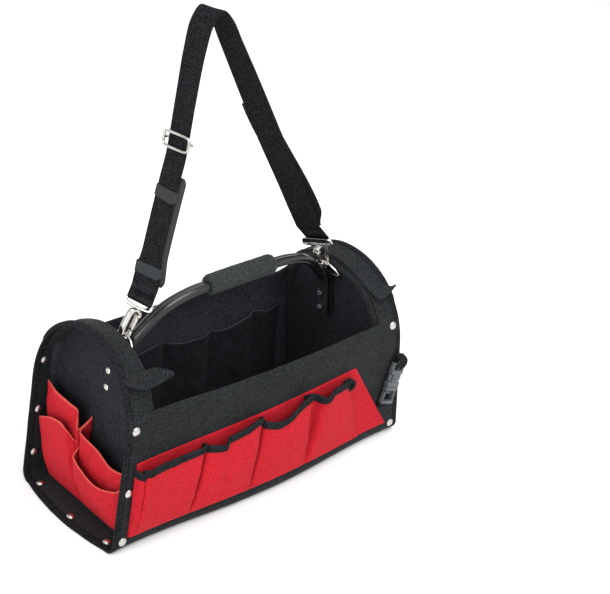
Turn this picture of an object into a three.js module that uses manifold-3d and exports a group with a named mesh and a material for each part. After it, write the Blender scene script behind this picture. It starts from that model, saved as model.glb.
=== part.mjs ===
// Open-topped canvas tool bag with a riveted tube handle and a shoulder strap.
// Millimetres, +Z up. The bag stands on its base at the origin, its front faces -Y and its length runs along X.
import * as THREE from 'three';
import { mergeVertices } from 'three/addons/utils/BufferGeometryUtils.js';
import Module from 'manifold-3d';

const wasm = await Module();
wasm.setup();

// Driving dimensions: the body
const BODY_LENGTH = 460;
const BODY_WIDTH = 188;
const SHOULDER_HEIGHT = 136;
const ARCH_HEIGHT = 240;
const ARCH_SQUARENESS = 2.12;
const END_LEAN = 0.108; // inward run of the rim for each millimetre of height
const FRONT_TOP = 174;
const BACK_TOP = 190;
const CORNER_RADIUS = 14;
const CORNER_LIP = 3; // flat strip of each wall beside the base
const FRONT_BOW = { bottom: 6, top: 6 };
const BACK_BOW = { bottom: 7, top: 3 };
const BOW_SPAN = 192;
const LEDGE_BOW = 9;

// Cloth thicknesses and the clearance between touching pieces
const GAP = 0.3;
const WALL = 2.4;
const POCKET_CLOTH = 1.4;
const BINDING_TAPE = 1.1;
const HOOD_CLOTH = 2;
const END_BOARD = 3;
const END_INSET = 31; // from the rim to the outer face of the end board
const RIM_WIDTH = END_INSET + END_BOARD;
const RIM_SEAM = 1.2; // between the top of a wall and the strip above it
const BOARD_CLEAR = 0.8; // round the edge of an end board

// Handle
const TUBE = { wide: 15, deep: 10 };
const HANDLE_TOP = 263;
const HANDLE_FOOT = 152;
const HANDLE_BEND = 190; // height above which the tube leaves the end board
const HANDLE_TIP_FORWARD = 16; // how far the top of the tube leans to the front
const HANDLE_SKEW = 12; // from the left foot to the right foot, across the bag
const GRIP = { length: 102, radius: 12.5 };
const HANDLE_BOLTS = [164, 185];

// Webbing and its fittings
const LOOP_WEB = { width: 22, thick: 1.8, foot: 156, top: 213 };
const STRAP = { width: 32, thick: 2, tail: 1.8 };
const STRAP_TURN = 0.28; // how far the flat of the strap turns towards the bag's length, in radians
const RING_WIRE = 1.7;
const RING = { half: 20.5, arch: 15, heel: 3 };
const RING_SLIP = -4; // the ring lies this far from the middle of its loop
const HOOK = { wire: 2.2, half: 6, shoulder: 24, neck: 30, eyeLow: 33, eyeHigh: 43, eyeHalf: 21, tilt: 0.5 };
const EYE_WIRE = 1.8;
const PIN_RADIUS = 0.8;
const STRAP_SETTLE = 0.03; // share of the strap over which its flat turns from the eye's line
const STRAP_START = 0.005;
const STRAP_LAP = 9;
const TAIL = { from: 0.66, to: 0.95, shift: -5 };
const PAD = { from: 0.008, to: 0.2, width: 38, thick: 8 };
const KEEPER = { thick: 1.8, length: 15 };
const KEEPERS = [{ name: 'pad_keeper_low', share: 0.035 }, { name: 'pad_keeper_high', share: 0.172 }];
const SLIDER = { share: 0.25, length: 25, bar: 2.6 };
const BUCKLE = { x: 200, z: 83, tilt: 0.3, width: 25, thick: 8, web: 1.5, webWidth: 18 };
const RIVET = { radius: 5.2, height: 2.6, inset: 11.5 };
const RIVETS_FRONT = { left: [16, 80, 158], right: [16, 80, 167] };
const RIVETS_BACK = [34, 93, 160];
const RIVETS_BASE = [-70, -6, 70];

// Finishes
const finish = (color, roughness, metalness = 0) => (
  new THREE.MeshStandardMaterial({ color, roughness, metalness })
);
const BLACK_CANVAS = finish(0x24282a, 0.9);
const RED_CANVAS = finish(0xc8202e, 0.85);
const BLACK_WEB = finish(0x1c1e20, 0.85);
const BLACK_TUBE = finish(0x1a1d1f, 0.35);
const GRIP_CLOTH = finish(0x2c302f, 0.95);
const GREY_PLASTIC = finish(0x63696b, 0.5);
const GREY_RUBBER = finish(0x3a4143, 0.7);
const STEEL = finish(0xcfcac0, 0.25, 1);

const bag = new THREE.Group();
const SIDES = [{ name: 'left', way: -1 }, { name: 'right', way: 1 }];

/** Adds a named mesh to the bag or to a placed group in it. */
function add(name, geometry, material, parent = bag) {
  const mesh = new THREE.Mesh(geometry, material);
  mesh.name = name;
  parent.add(mesh);
  return mesh;
}

const mix = (a, b, t) => a + (b - a) * t;
const count = (steps) => Array.from({ length: steps + 1 }, (_, i) => i / steps);
const signedPower = (value, power) => Math.sign(value) * Math.abs(value) ** power;

/** Turns the faces of a closed geometry outwards. */
function facingOut(geometry) {
  const position = geometry.attributes.position;
  const index = geometry.index;
  const [a, b, c] = [0, 1, 2].map(() => new THREE.Vector3());
  let volume = 0;
  for (let i = 0; i < index.count; i += 3) {
    [a, b, c].forEach((corner, k) => corner.fromBufferAttribute(position, index.getX(i + k)));
    volume += a.dot(b.cross(c));
  }
  if (volume < 0) {
    for (let i = 0; i < index.count; i += 3) {
      const first = index.getX(i);
      index.setX(i, index.getX(i + 2));
      index.setX(i + 2, first);
    }
  }
  geometry.computeVertexNormals();
  return geometry;
}

/** Points and normals of a sheet, over a list of columns and a list of rows. */
function gridOf(columns, rows, surface) {
  const points = rows.map((row) => columns.map((column) => surface(column, row)));
  const held = (index, count) => Math.min(Math.max(index, 0), count - 1);
  const at = (r, c) => points[held(r, rows.length)][held(c, columns.length)];
  const normals = rows.map((_, r) => columns.map((__, c) => {
    const along = at(r, c + 1).clone().sub(at(r, c - 1));
    const up = at(r + 1, c).clone().sub(at(r - 1, c));
    return along.cross(up).normalize();
  }));
  return { points, normals };
}

/** A closed sheet between two distances along the normals of a grid. */
function sheet({ points, normals }, inner, outer, fromRow = 0) {
  const columns = points[0].length - 1;
  const rows = points.length - 1 - fromRow;
  const geometry = new THREE.BoxGeometry(1, 1, 1, columns, rows, 1);
  const position = geometry.attributes.position;
  for (let i = 0; i < position.count; i++) {
    const c = Math.round((position.getX(i) + 0.5) * columns);
    const r = Math.round((position.getY(i) + 0.5) * rows) + fromRow;
    const reach = position.getZ(i) > 0 ? outer : inner;
    const point = points[r][c].clone().addScaledVector(normals[r][c], reach);
    position.setXYZ(i, point.x, point.y, point.z);
  }
  return facingOut(geometry);
}

/** A ribbon of a given width through rows of a point and a width direction, between two distances along its normals. */
function ribbon(rows, width, inner, outer) {
  const surface = (c, { point, side }) => point.clone().addScaledVector(side, c * width);
  return sheet(gridOf([-0.5, 0.5], rows, surface), inner, outer);
}

/** A solid for a boolean, from a closed geometry. */
function solidOf(geometry) {
  const plain = geometry.clone();
  plain.deleteAttribute('normal');
  plain.deleteAttribute('uv');
  const merged = mergeVertices(plain, 1e-4);
  return new wasm.Manifold(new wasm.Mesh({
    numProp: 3,
    vertProperties: new Float32Array(merged.attributes.position.array),
    triVerts: new Uint32Array(merged.index.array),
  }));
}

function geometryOf(solid) {
  const mesh = solid.getMesh();
  const geometry = new THREE.BufferGeometry();
  geometry.setAttribute('position', new THREE.BufferAttribute(new Float32Array(mesh.vertProperties), 3));
  geometry.setIndex(new THREE.BufferAttribute(new Uint32Array(mesh.triVerts), 1));
  geometry.computeVertexNormals();
  return geometry;
}

const joined = (geometries) => geometryOf(geometries.map(solidOf).reduce((all, next) => all.add(next)));
const cut = (geometry, tools) => (
  geometryOf(tools.map(solidOf).reduce((left, tool) => left.subtract(tool), solidOf(geometry)))
);

/** A round bar between two points. */
function bar(from, to, radius, sides = 8) {
  const geometry = new THREE.CylinderGeometry(radius, radius, from.distanceTo(to), sides);
  const along = to.clone().sub(from).normalize();
  const turn = new THREE.Quaternion().setFromUnitVectors(new THREE.Vector3(0, 1, 0), along);
  const middle = from.clone().add(to).multiplyScalar(0.5);
  return geometry.applyQuaternion(turn).translate(middle.x, middle.y, middle.z);
}

/** A wire ring along a closed outline in the YZ plane. */
function wireRing(outline, wire, steps, sides) {
  const geometry = new THREE.TorusGeometry(1, 0.5, sides, steps);
  const position = geometry.attributes.position;
  const ahead = 1e-3;
  for (let i = 0; i < position.count; i++) {
    const turn = ((i % (steps + 1)) / steps) * 2 * Math.PI;
    const roll = (Math.floor(i / (steps + 1)) / sides) * 2 * Math.PI;
    const here = outline(turn);
    const tangent = outline(turn + ahead).sub(outline(turn - ahead)).normalize();
    const out = new THREE.Vector3(0, tangent.z, -tangent.y);
    here.addScaledVector(out, wire * Math.cos(roll));
    here.x += wire * Math.sin(roll);
    position.setXYZ(i, here.x, here.y, here.z);
  }
  return facingOut(geometry);
}

// The form of the body

/** Half the width of the bag at a height, taken in from its outer face. */
function halfWidth(z, inward = 0) {
  const half = BODY_WIDTH / 2 - inward;
  const rise = Math.min(Math.max((z - SHOULDER_HEIGHT) / (ARCH_HEIGHT - SHOULDER_HEIGHT - inward), 0), 1);
  return half * (1 - rise ** ARCH_SQUARENESS) ** (1 / ARCH_SQUARENESS);
}

const rimX = (z, inset = 0) => BODY_LENGTH / 2 - inset - END_LEAN * z;

/** How far a long wall bows out between its ends. */
function bowOf(bow, x, z) {
  const swell = Math.max(1 - (x / BOW_SPAN) ** 2, 0) ** 2;
  return mix(bow.bottom, bow.top, Math.min(z / FRONT_TOP, 1)) * swell;
}

/** A point over the arch: angle 0 is the front shoulder and PI the back one. */
function archPoint(angle, inward) {
  const power = 2 / ARCH_SQUARENESS;
  const y = -(BODY_WIDTH / 2 - inward) * signedPower(Math.cos(angle), power);
  const z = SHOULDER_HEIGHT + (ARCH_HEIGHT - SHOULDER_HEIGHT - inward) * Math.sin(angle) ** power;
  return { y, z };
}

const archAngle = (z) => (
  Math.asin(((z - SHOULDER_HEIGHT) / (ARCH_HEIGHT - SHOULDER_HEIGHT)) ** (ARCH_SQUARENESS / 2))
);

// Base and long walls

const bottomEdge = BODY_WIDTH / 2 - CORNER_RADIUS;

function makeBase() {
  const across = [-1, -0.5, 0, 0.5, 1];
  const along = count(12).map((t) => 2 * t - 1);
  const surface = (u, v) => {
    const x = u * (BODY_LENGTH / 2 + LEDGE_BOW * (1 - v * v));
    const edge = bottomEdge - CORNER_LIP - GAP + bowOf(v < 0 ? FRONT_BOW : BACK_BOW, x, 0);
    return new THREE.Vector3(x, v * edge, 0);
  };
  add('base_panel', sheet(gridOf(along, across, surface), 0, WALL), BLACK_CANVAS);
}

/** Half widths and heights of a wall from the edge of the base to its top, on the middle of the cloth. */
function wallSections(top) {
  const middle = WALL / 2;
  const radius = CORNER_RADIUS - middle;
  const lip = { half: bottomEdge - CORNER_LIP, z: middle };
  const corner = count(4).map((t) => {
    const angle = (t - 1) * (Math.PI / 2);
    return { half: bottomEdge + radius * Math.cos(angle), z: CORNER_RADIUS + radius * Math.sin(angle) };
  });
  const upright = count(2).slice(1).map((t) => mix(CORNER_RADIUS, SHOULDER_HEIGHT, t));
  const arched = count(3).slice(1).map((t) => mix(SHOULDER_HEIGHT, top, t));
  return [lip, ...corner, ...[...upright, ...arched].map((z) => ({ half: halfWidth(z, middle), z }))];
}

function makeWall(name, way, top, bow) {
  const columns = count(12).map((t) => 2 * t - 1);
  const surface = (u, section) => {
    const x = u * rimX(section.z);
    return new THREE.Vector3(x, way * (section.half + bowOf(bow, x, section.z)), section.z);
  };
  add(name, sheet(gridOf(columns, wallSections(top), surface), -WALL / 2, WALL / 2), BLACK_CANVAS);
}

// Ends

/** A place on an end: across the bag, up, and out from the outer face of the end board. */
const onEnd = (way, y, z, out) => new THREE.Vector3(way * (rimX(z, END_INSET) + out), y, z);

const handleY = (way) => (way * HANDLE_SKEW) / 2;

/** The axis of a handle bolt, from outside the end board to the inside of the bag. */
function boltAxis(way, z) {
  const face = onEnd(way, handleY(way), z, 0);
  const inward = new THREE.Vector3(-way, 0, -END_LEAN).normalize();
  return { face, inward };
}

const boltBar = ({ face, inward }, from, to, radius) =>
  bar(face.clone().addScaledVector(inward, from), face.clone().addScaledVector(inward, to), radius);

const BOLT = { shank: 2, hole: 2.3, head: 4.6, headDeep: 1.8, nut: 5, nutDeep: 2.2 };
const boltHoles = (way) => HANDLE_BOLTS.map((z) => boltBar(boltAxis(way, z), -20, 40, BOLT.hole));

function makeEndBoard(side) {
  const inward = WALL + BOARD_CLEAR;
  const radius = CORNER_RADIUS - inward;
  const half = BODY_WIDTH / 2 - inward;
  const shape = new THREE.Shape();
  shape.moveTo(-bottomEdge, inward);
  shape.lineTo(bottomEdge, inward);
  shape.absarc(bottomEdge, CORNER_RADIUS, radius, -Math.PI / 2, 0, false);
  shape.lineTo(half, SHOULDER_HEIGHT);
  count(22).slice(1, -1).forEach((t) => {
    const { y, z } = archPoint(Math.PI * (1 - t), inward);
    shape.lineTo(y, z);
  });
  shape.lineTo(-half, SHOULDER_HEIGHT);
  shape.absarc(-bottomEdge, CORNER_RADIUS, radius, Math.PI, 1.5 * Math.PI, false);
  const options = { depth: END_BOARD, bevelEnabled: false, curveSegments: 3 };
  const geometry = new THREE.ExtrudeGeometry(shape, options);
  const position = geometry.attributes.position;
  for (let i = 0; i < position.count; i++) {
    const point = onEnd(side.way, position.getX(i), position.getY(i), -position.getZ(i));
    position.setXYZ(i, point.x, point.y, point.z);
  }
  const closed = facingOut(mergeVertices(positionOnly(geometry), 1e-4));
  add(`end_panel_${side.name}`, cut(closed, boltHoles(side.way)), BLACK_CANVAS);
}

function positionOnly(geometry) {
  geometry.deleteAttribute('normal');
  geometry.deleteAttribute('uv');
  return geometry;
}

/** The strip over an arch that joins the two walls. */
function makeEndRim(side) {
  const from = archAngle(FRONT_TOP + RIM_SEAM);
  const to = Math.PI - archAngle(BACK_TOP + RIM_SEAM);
  const surface = (inset, t) => {
    const { y, z } = archPoint(mix(from, to, t), 0);
    return new THREE.Vector3(side.way * rimX(z, inset), y, z);
  };
  const grid = gridOf(side.way < 0 ? [0, RIM_WIDTH] : [RIM_WIDTH, 0], count(22), surface);
  add(`end_rim_${side.name}`, sheet(grid, -WALL, 0), BLACK_CANVAS);
}

// The loose front end of each outer strip: the places of its two edges, from its root to its tip
const HOOD_TABS = {
  left: {
    root: 213,
    folds: [
      { outer: [-203, -75, 207.5], inner: [-173, -70, 213.5] },
      { outer: [-194, -84, 205], inner: [-169, -76, 219] },
      { outer: [-184, -90, 206], inner: [-166, -84, 222] },
      { outer: [-174, -96, 212], inner: [-162, -92, 223.5] },
      { outer: [-162.5, -101, 219.5], inner: [-159, -98.5, 223] },
    ],
  },
  right: {
    root: 222,
    folds: [
      { outer: [206, -68.5, 213], inner: [174, -68.5, 213] },
      { outer: [206.5, -76, 214.5], inner: [176, -77, 208.5] },
      { outer: [206.7, -82.5, 220.5], inner: [178.5, -85, 208] },
    ],
  },
};

/** The outer layer over an arch, with its loose tab. */
function makeHood(side) {
  const { root, folds } = HOOD_TABS[side.name];
  const outward = -GAP;
  const from = archAngle(root);
  const to = Math.PI - archAngle(BACK_TOP + 4);
  const over = count(20).map((t) => archPoint(mix(from, to, t), outward));
  const width = RIM_WIDTH - 1;
  const surface = (inset, { outer, inner, y, z }) => {
    if (!outer) return new THREE.Vector3(side.way * rimX(z, inset), y, z);
    return new THREE.Vector3(...outer).lerp(new THREE.Vector3(...inner), inset / width);
  };
  const insets = [0, width / 2, width];
  const rows = [...[...folds].reverse(), ...over];
  const grid = gridOf(side.way < 0 ? insets : [...insets].reverse(), rows, surface);
  add(`hood_${side.name}`, sheet(grid, 0, HOOD_CLOTH), BLACK_CANVAS);
}

// Pockets. Each row is a fold: where it stands at the foot and at the mouth, how high the mouth is there,
// and how far the cloth stands away from what carries it.
const FRONT_FOLDS = [
  { foot: -209, top: -203, mouth: 104, out: 0 },
  { foot: -206, top: -197, mouth: 104, out: 12 },
  { foot: -203, top: -194, mouth: 114, out: 14 },
  { foot: -170, top: -165, mouth: 116, out: 13.5 },
  { foot: -140, top: -123, mouth: 116.5, out: 12.5 },
  { foot: -130, top: -115.5, mouth: 114, out: 8 },
  { foot: -126, top: -111, mouth: 110, out: 1 },
  { foot: -122, top: -107, mouth: 112, out: 10 },
  { foot: -104, top: -96, mouth: 110.5, out: 14 },
  { foot: -90, top: -87, mouth: 109.5, out: 14.5 },
  { foot: -86, top: -83, mouth: 116, out: 12 },
  { foot: -62, top: -60, mouth: 120.5, out: 13 },
  { foot: -47, top: -43, mouth: 124, out: 12.5 },
  { foot: -40.5, top: -33, mouth: 121, out: 8 },
  { foot: -36.7, top: -28.5, mouth: 117, out: 1 },
  { foot: -33, top: -24, mouth: 116, out: 10 },
  { foot: -8, top: -4, mouth: 111, out: 14 },
  { foot: 15, top: 12, mouth: 116.5, out: 14.5 },
  { foot: 38, top: 27, mouth: 126, out: 13 },
  { foot: 47, top: 38, mouth: 125, out: 8 },
  { foot: 51, top: 43, mouth: 121, out: 1 },
  { foot: 52.5, top: 47, mouth: 122, out: 8 },
  { foot: 54, top: 60, mouth: 115, out: 12 },
  { foot: 58, top: 65, mouth: 114.5, out: 14 },
  { foot: 72, top: 76, mouth: 118.5, out: 13 },
  { foot: 90, top: 84, mouth: 122, out: 12 },
  { foot: 115, top: 102, mouth: 120, out: 8 },
  { foot: 145, top: 122, mouth: 114, out: 0.5 },
  { foot: 152, top: 128, mouth: 113, out: 0 },
];
const TALL_FOLDS = [
  { foot: -78, top: -86, mouth: 96, out: 11 },
  { foot: -70, top: -76, mouth: 94, out: 16 },
  { foot: -58, top: -58, mouth: 93, out: 19 },
  { foot: -30, top: -30, mouth: 102, out: 20 },
  { foot: -8, top: -8, mouth: 104, out: 19 },
  { foot: 8, top: 8, mouth: 105, out: 17 },
  { foot: 12, top: 12.5, mouth: 108, out: 16 },
  { foot: 14, top: 14.5, mouth: 127, out: 18 },
  { foot: 18, top: 18, mouth: 131, out: 19 },
  { foot: 35, top: 35, mouth: 132, out: 20 },
  { foot: 60, top: 60, mouth: 133, out: 19 },
  { foot: 78, top: 86, mouth: 134, out: 13 },
];
const LOW_FOLDS = [
  { foot: -77, top: -87, mouth: 85, out: 18 },
  { foot: -69, top: -74, mouth: 73, out: 23 },
  { foot: -42, top: -42, mouth: 65, out: 26 },
  { foot: -15, top: -15, mouth: 70, out: 26 },
  { foot: 7, top: 8, mouth: 78, out: 22 },
  { foot: 12, top: 14, mouth: 83, out: 20 },
  { foot: 17, top: 21, mouth: 97, out: 24 },
  { foot: 26, top: 30, mouth: 107.5, out: 26 },
  { foot: 48, top: 48, mouth: 106, out: 26 },
  { foot: 62, top: 62, mouth: 100, out: 24 },
  { foot: 77, top: 87, mouth: 87, out: 18 },
];
const INNER_FOLDS = [
  { foot: -172, top: -168, mouth: 126, out: 0 },
  { foot: -150, top: -148, mouth: 124, out: 9 },
  { foot: -112, top: -110, mouth: 125, out: 9 },
  { foot: -96, top: -96, mouth: 127, out: 0 },
  { foot: -80, top: -80, mouth: 126, out: 9 },
  { foot: -40, top: -40, mouth: 130, out: 9 },
  { foot: -23, top: -23, mouth: 124, out: 0 },
  { foot: -6, top: -6, mouth: 121, out: 9 },
  { foot: 36, top: 36, mouth: 118, out: 9 },
  { foot: 53, top: 53, mouth: 117, out: 0 },
  { foot: 70, top: 70, mouth: 119, out: 9 },
  { foot: 110, top: 110, mouth: 127, out: 9 },
  { foot: 126, top: 126, mouth: 128, out: 0 },
  { foot: 142, top: 140, mouth: 127, out: 8 },
  { foot: 172, top: 168, mouth: 125, out: 0 },
];
const FRONT_FOOT = 18;
const BINDING_HEIGHT = 8;
const FRONT_PANEL = { left: 17, leftTop: 116.5, rightTop: 129, rightX: 134, cornerX: 205 };

const onFront = (x, z, out) => new THREE.Vector3(x, -(halfWidth(z) + bowOf(FRONT_BOW, x, z) + out), z);
const onBackInside = (x, z, out) => (
  new THREE.Vector3(x, halfWidth(z) - WALL + bowOf(BACK_BOW, x, z) - out, z)
);

/** A grid for a row of pockets: the last row is the mouth, and the one before it lies a binding below. */
function pocketGrid(folds, foot, lift, carrier, binding = BINDING_HEIGHT) {
  const levels = [0, 0.25, 0.5, 0.75, 'binding', 1];
  return gridOf(folds, levels, (fold, level) => {
    const t = level === 'binding' ? 1 - binding / (fold.mouth - foot) : level;
    return carrier(mix(fold.foot, fold.top, t), mix(foot, fold.mouth, t), lift + fold.out * t ** 0.75);
  });
}

function makeFrontPockets() {
  const slant = FRONT_PANEL.rightTop - FRONT_FOOT;
  const rightAt = (z) => mix(FRONT_PANEL.cornerX, FRONT_PANEL.rightX, (z - FRONT_FOOT) / slant);
  const panel = gridOf(count(12), count(4), (u, v) => {
    const z = mix(FRONT_FOOT, mix(FRONT_PANEL.leftTop, FRONT_PANEL.rightTop, u), v);
    return onFront(mix(-rimX(z, FRONT_PANEL.left), rightAt(z), u), z, GAP);
  });
  add('pocket_back_front', sheet(panel, 0, POCKET_CLOTH), RED_CANVAS);
  const pockets = pocketGrid(FRONT_FOLDS, FRONT_FOOT, 2 * GAP + POCKET_CLOTH, onFront);
  add('front_pockets', sheet(pockets, 0, POCKET_CLOTH), RED_CANVAS);
  const tape = POCKET_CLOTH + 2 * GAP;
  const bindingRow = pockets.points.length - 2;
  add('pocket_binding', sheet(pockets, tape, tape + BINDING_TAPE, bindingRow), BLACK_WEB);
}

function makeEndPockets(side) {
  const mirrored = (folds) => (side.way < 0 ? [...folds].reverse() : folds);
  const carrier = (y, z, out) => onEnd(side.way, y, z, out);
  const foot = WALL + 1;
  const tall = pocketGrid(mirrored(TALL_FOLDS), foot, GAP, carrier);
  add(`end_pockets_tall_${side.name}`, sheet(tall, 0, POCKET_CLOTH), RED_CANVAS);
  const low = pocketGrid(mirrored(LOW_FOLDS), foot, 2 * GAP + POCKET_CLOTH, carrier);
  add(`end_pockets_low_${side.name}`, sheet(low, 0, POCKET_CLOTH), RED_CANVAS);
}

function makeInnerPockets() {
  const grid = pocketGrid(INNER_FOLDS, CORNER_RADIUS, GAP, onBackInside);
  add('inner_pockets', sheet(grid, 0, POCKET_CLOTH), BLACK_CANVAS);
}

// Handle

const loopDepth = 2 * LOOP_WEB.thick + 3 * GAP; // the two layers of webbing under each handle foot
const tubeInset = END_INSET + END_BOARD + loopDepth + GAP + TUBE.deep / 2;

/** The middle line of the tube from the left foot over to the right one. */
function handleLine() {
  const half = [
    { x: rimX(HANDLE_FOOT, tubeInset), z: HANDLE_FOOT },
    { x: rimX(175, tubeInset), z: 175 },
    { x: rimX(HANDLE_BEND, tubeInset), z: HANDLE_BEND },
    { x: 157, z: 210 },
    { x: 139, z: 231 },
    { x: 112, z: 252 },
    { x: 78, z: 261.5 },
    { x: 40, z: HANDLE_TOP },
  ];
  const place = ({ x, z }, way) => {
    const lean = Math.max(z - HANDLE_BEND, 0) / (HANDLE_TOP - HANDLE_BEND);
    const skew = handleY(1) * (x / half[0].x) * way;
    return new THREE.Vector3(way * x, skew - HANDLE_TIP_FORWARD * lean, z);
  };
  const points = [...half.map((p) => place(p, -1)), ...[...half].reverse().map((p) => place(p, 1))];
  return new THREE.CatmullRomCurve3(points, false, 'centripetal');
}

/** A flat oval section swept along the handle, between two shares of its length. */
function handleSweep(line, from, to, steps, wide, deep, sides) {
  const across = new THREE.Vector3(0, 1, 0);
  const rings = count(steps).map((t) => {
    const share = mix(from, to, t);
    const centre = line.getPointAt(share);
    const out = new THREE.Vector3().crossVectors(line.getTangentAt(share), across).normalize();
    return { centre, out };
  });
  const geometry = new THREE.CylinderGeometry(1, 1, 1, sides, steps);
  const position = geometry.attributes.position;
  for (let i = 0; i < position.count; i++) {
    const { centre, out } = rings[Math.round((position.getY(i) + 0.5) * steps)];
    const point = centre.clone();
    point.addScaledVector(across, (position.getX(i) * wide) / 2);
    point.addScaledVector(out, (position.getZ(i) * deep) / 2);
    position.setXYZ(i, point.x, point.y, point.z);
  }
  return facingOut(geometry);
}

function makeHandle() {
  const line = handleLine();
  const tube = handleSweep(line, 0, 1, 30, TUBE.wide, TUBE.deep, 10);
  add('handle', cut(tube, SIDES.flatMap(({ way }) => boltHoles(way))), BLACK_TUBE);
  const share = GRIP.length / line.getLength() / 2;
  const sleeve = handleSweep(line, 0.5 - share, 0.5 + share, 8, 2 * GRIP.radius, 2 * GRIP.radius, 12);
  const bore = handleSweep(line, 0.4 - share, 0.6 + share, 8, TUBE.wide + 2 * GAP, TUBE.deep + 2 * GAP, 10);
  add('handle_grip', cut(sleeve, [bore]), GRIP_CLOTH);
}

function makeHandleBolts(side) {
  HANDLE_BOLTS.forEach((z, i) => {
    const axis = boltAxis(side.way, z);
    const through = END_BOARD + loopDepth + TUBE.deep + 2 * GAP;
    const parts = [
      boltBar(axis, -GAP - BOLT.headDeep, -GAP, BOLT.head),
      boltBar(axis, -GAP - BOLT.headDeep / 2, through + BOLT.nutDeep / 2, BOLT.shank),
      boltBar(axis, through, through + BOLT.nutDeep, BOLT.nut),
    ];
    add(`handle_bolt_${side.name}_${i + 1}`, joined(parts), STEEL);
  });
}

// Rings, loops and snap hooks

const ringInset = END_INSET + END_BOARD + GAP + LOOP_WEB.thick + GAP + RING_WIRE;
const ringX = rimX(LOOP_WEB.top, ringInset);
const ringY = (way) => handleY(way) + RING_SLIP;
const ringTop = new THREE.Vector3(
  ringX - (RING.heel + RING.arch) * Math.sin(HOOK.tilt),
  0,
  LOOP_WEB.top + (RING.heel + RING.arch) * Math.cos(HOOK.tilt),
);

function makeRing(side) {
  const outline = (angle) => {
    const up = Math.sin(angle);
    const power = up < 0 ? 0.4 : 1;
    const y = RING.half * signedPower(Math.cos(angle), power);
    const z = up < 0 ? -RING.heel * Math.abs(up) ** power : RING.arch * up;
    return new THREE.Vector3(0, y, z + RING.heel);
  };
  const ring = add(`d_ring_${side.name}`, wireRing(outline, RING_WIRE, 24, 5), STEEL);
  ring.position.set(side.way * ringX, ringY(side.way), LOOP_WEB.top);
  ring.rotation.y = -side.way * HOOK.tilt;
}

/** Webbing folded over the heel of the ring, with both ends under the handle foot. */
function makeRingLoop(side) {
  const bend = RING_WIRE + GAP + LOOP_WEB.thick / 2;
  const y = handleY(side.way);
  const near = END_INSET + END_BOARD + GAP + LOOP_WEB.thick / 2;
  const far = near + LOOP_WEB.thick + GAP;
  const across = new THREE.Vector3(0, 1, 0);
  const row = (x, z) => ({ point: new THREE.Vector3(side.way * x, y, z), side: across });
  const flat = (inset, z) => row(rimX(z, inset), z);
  const over = count(8).map((t) => {
    const angle = Math.PI * t;
    const z = LOOP_WEB.top + bend * Math.sin(angle);
    return row(ringX + bend * Math.cos(angle), z);
  });
  const closing = flat(far, LOOP_WEB.top - 14);
  const rise = [flat(near, LOOP_WEB.foot), flat(near, LOOP_WEB.top - 14)];
  const points = [...rise, ...over, closing, flat(far, LOOP_WEB.foot)];
  const loop = ribbon(points, LOOP_WEB.width, -LOOP_WEB.thick / 2, LOOP_WEB.thick / 2);
  add(`ring_loop_${side.name}`, cut(loop, boltHoles(side.way)), BLACK_WEB);
}

/** A hook stands in the XZ plane of its group, with the ring wire at its origin and its gate towards +X. */
function hookBody() {
  const at = (x, z) => new THREE.Vector3(x, 0, z);
  const seat = HOOK.half - RING_WIRE - GAP - HOOK.wire; // middle of the bowl above the ring wire
  const bowl = count(6).map((t) => {
    const angle = Math.PI * (1 + t);
    return at(HOOK.half * Math.cos(angle), seat + HOOK.half * Math.sin(angle));
  });
  const spine = [
    at(0, HOOK.neck), at(-HOOK.half + 1, HOOK.shoulder + 3), at(-HOOK.half, HOOK.shoulder - 4),
    ...bowl, at(HOOK.half, seat + 3),
  ];
  const curve = new THREE.CatmullRomCurve3(spine, false, 'centripetal');
  const section = new THREE.Shape().absarc(0, 0, HOOK.wire, 0, 2 * Math.PI);
  const options = { steps: 16, curveSegments: 3, extrudePath: curve, bevelEnabled: false };
  const hook = new THREE.ExtrudeGeometry(section, options);
  const tube = facingOut(mergeVertices(positionOnly(hook), 1e-4));
  const arm = bar(at(0, HOOK.neck), at(HOOK.half - 1, HOOK.shoulder + 3.4), HOOK.wire);
  const cheek = { in: 2.4, out: 3.8, radius: 3.2 };
  const pivot = (y) => new THREE.Vector3(HOOK.half, y, HOOK.shoulder);
  const cheeks = [-1, 1].map((way) => bar(pivot(way * cheek.in), pivot(way * cheek.out), cheek.radius));
  const bridge = new THREE.BoxGeometry(3, 2 * cheek.out, 2.4);
  bridge.translate(HOOK.half - 1, 0, HOOK.shoulder + 3.8);
  const pin = bar(pivot(-cheek.in - 0.5), pivot(cheek.in + 0.5), PIN_RADIUS, 6);
  const post = bar(at(0, HOOK.neck - 2), at(0, HOOK.eyeLow), HOOK.wire + 0.6);
  const middle = (HOOK.eyeLow + HOOK.eyeHigh) / 2;
  const eyeOutline = (angle) => {
    const y = HOOK.eyeHalf * signedPower(Math.cos(angle), 0.4);
    const z = ((HOOK.eyeHigh - HOOK.eyeLow) / 2) * signedPower(Math.sin(angle), 0.4);
    return new THREE.Vector3(0, y, middle + z);
  };
  const eye = wireRing(eyeOutline, EYE_WIRE, 20, 5).rotateZ(STRAP_TURN);
  return joined([tube, arm, ...cheeks, bridge, pin, post, eye]);
}

function hookGate() {
  const onAxis = (y) => new THREE.Vector3(HOOK.half, y, HOOK.shoulder);
  const hub = bar(onAxis(-2.1), onAxis(2.1), 2.1, 10);
  const tip = 5.6;
  const lever = new THREE.BoxGeometry(2.6, 3.6, HOOK.shoulder - tip);
  lever.translate(HOOK.half, 0, (HOOK.shoulder + tip) / 2);
  const hole = bar(onAxis(-4), onAxis(4), PIN_RADIUS + GAP, 6);
  return cut(joined([hub, lever]), [hole]);
}

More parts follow.
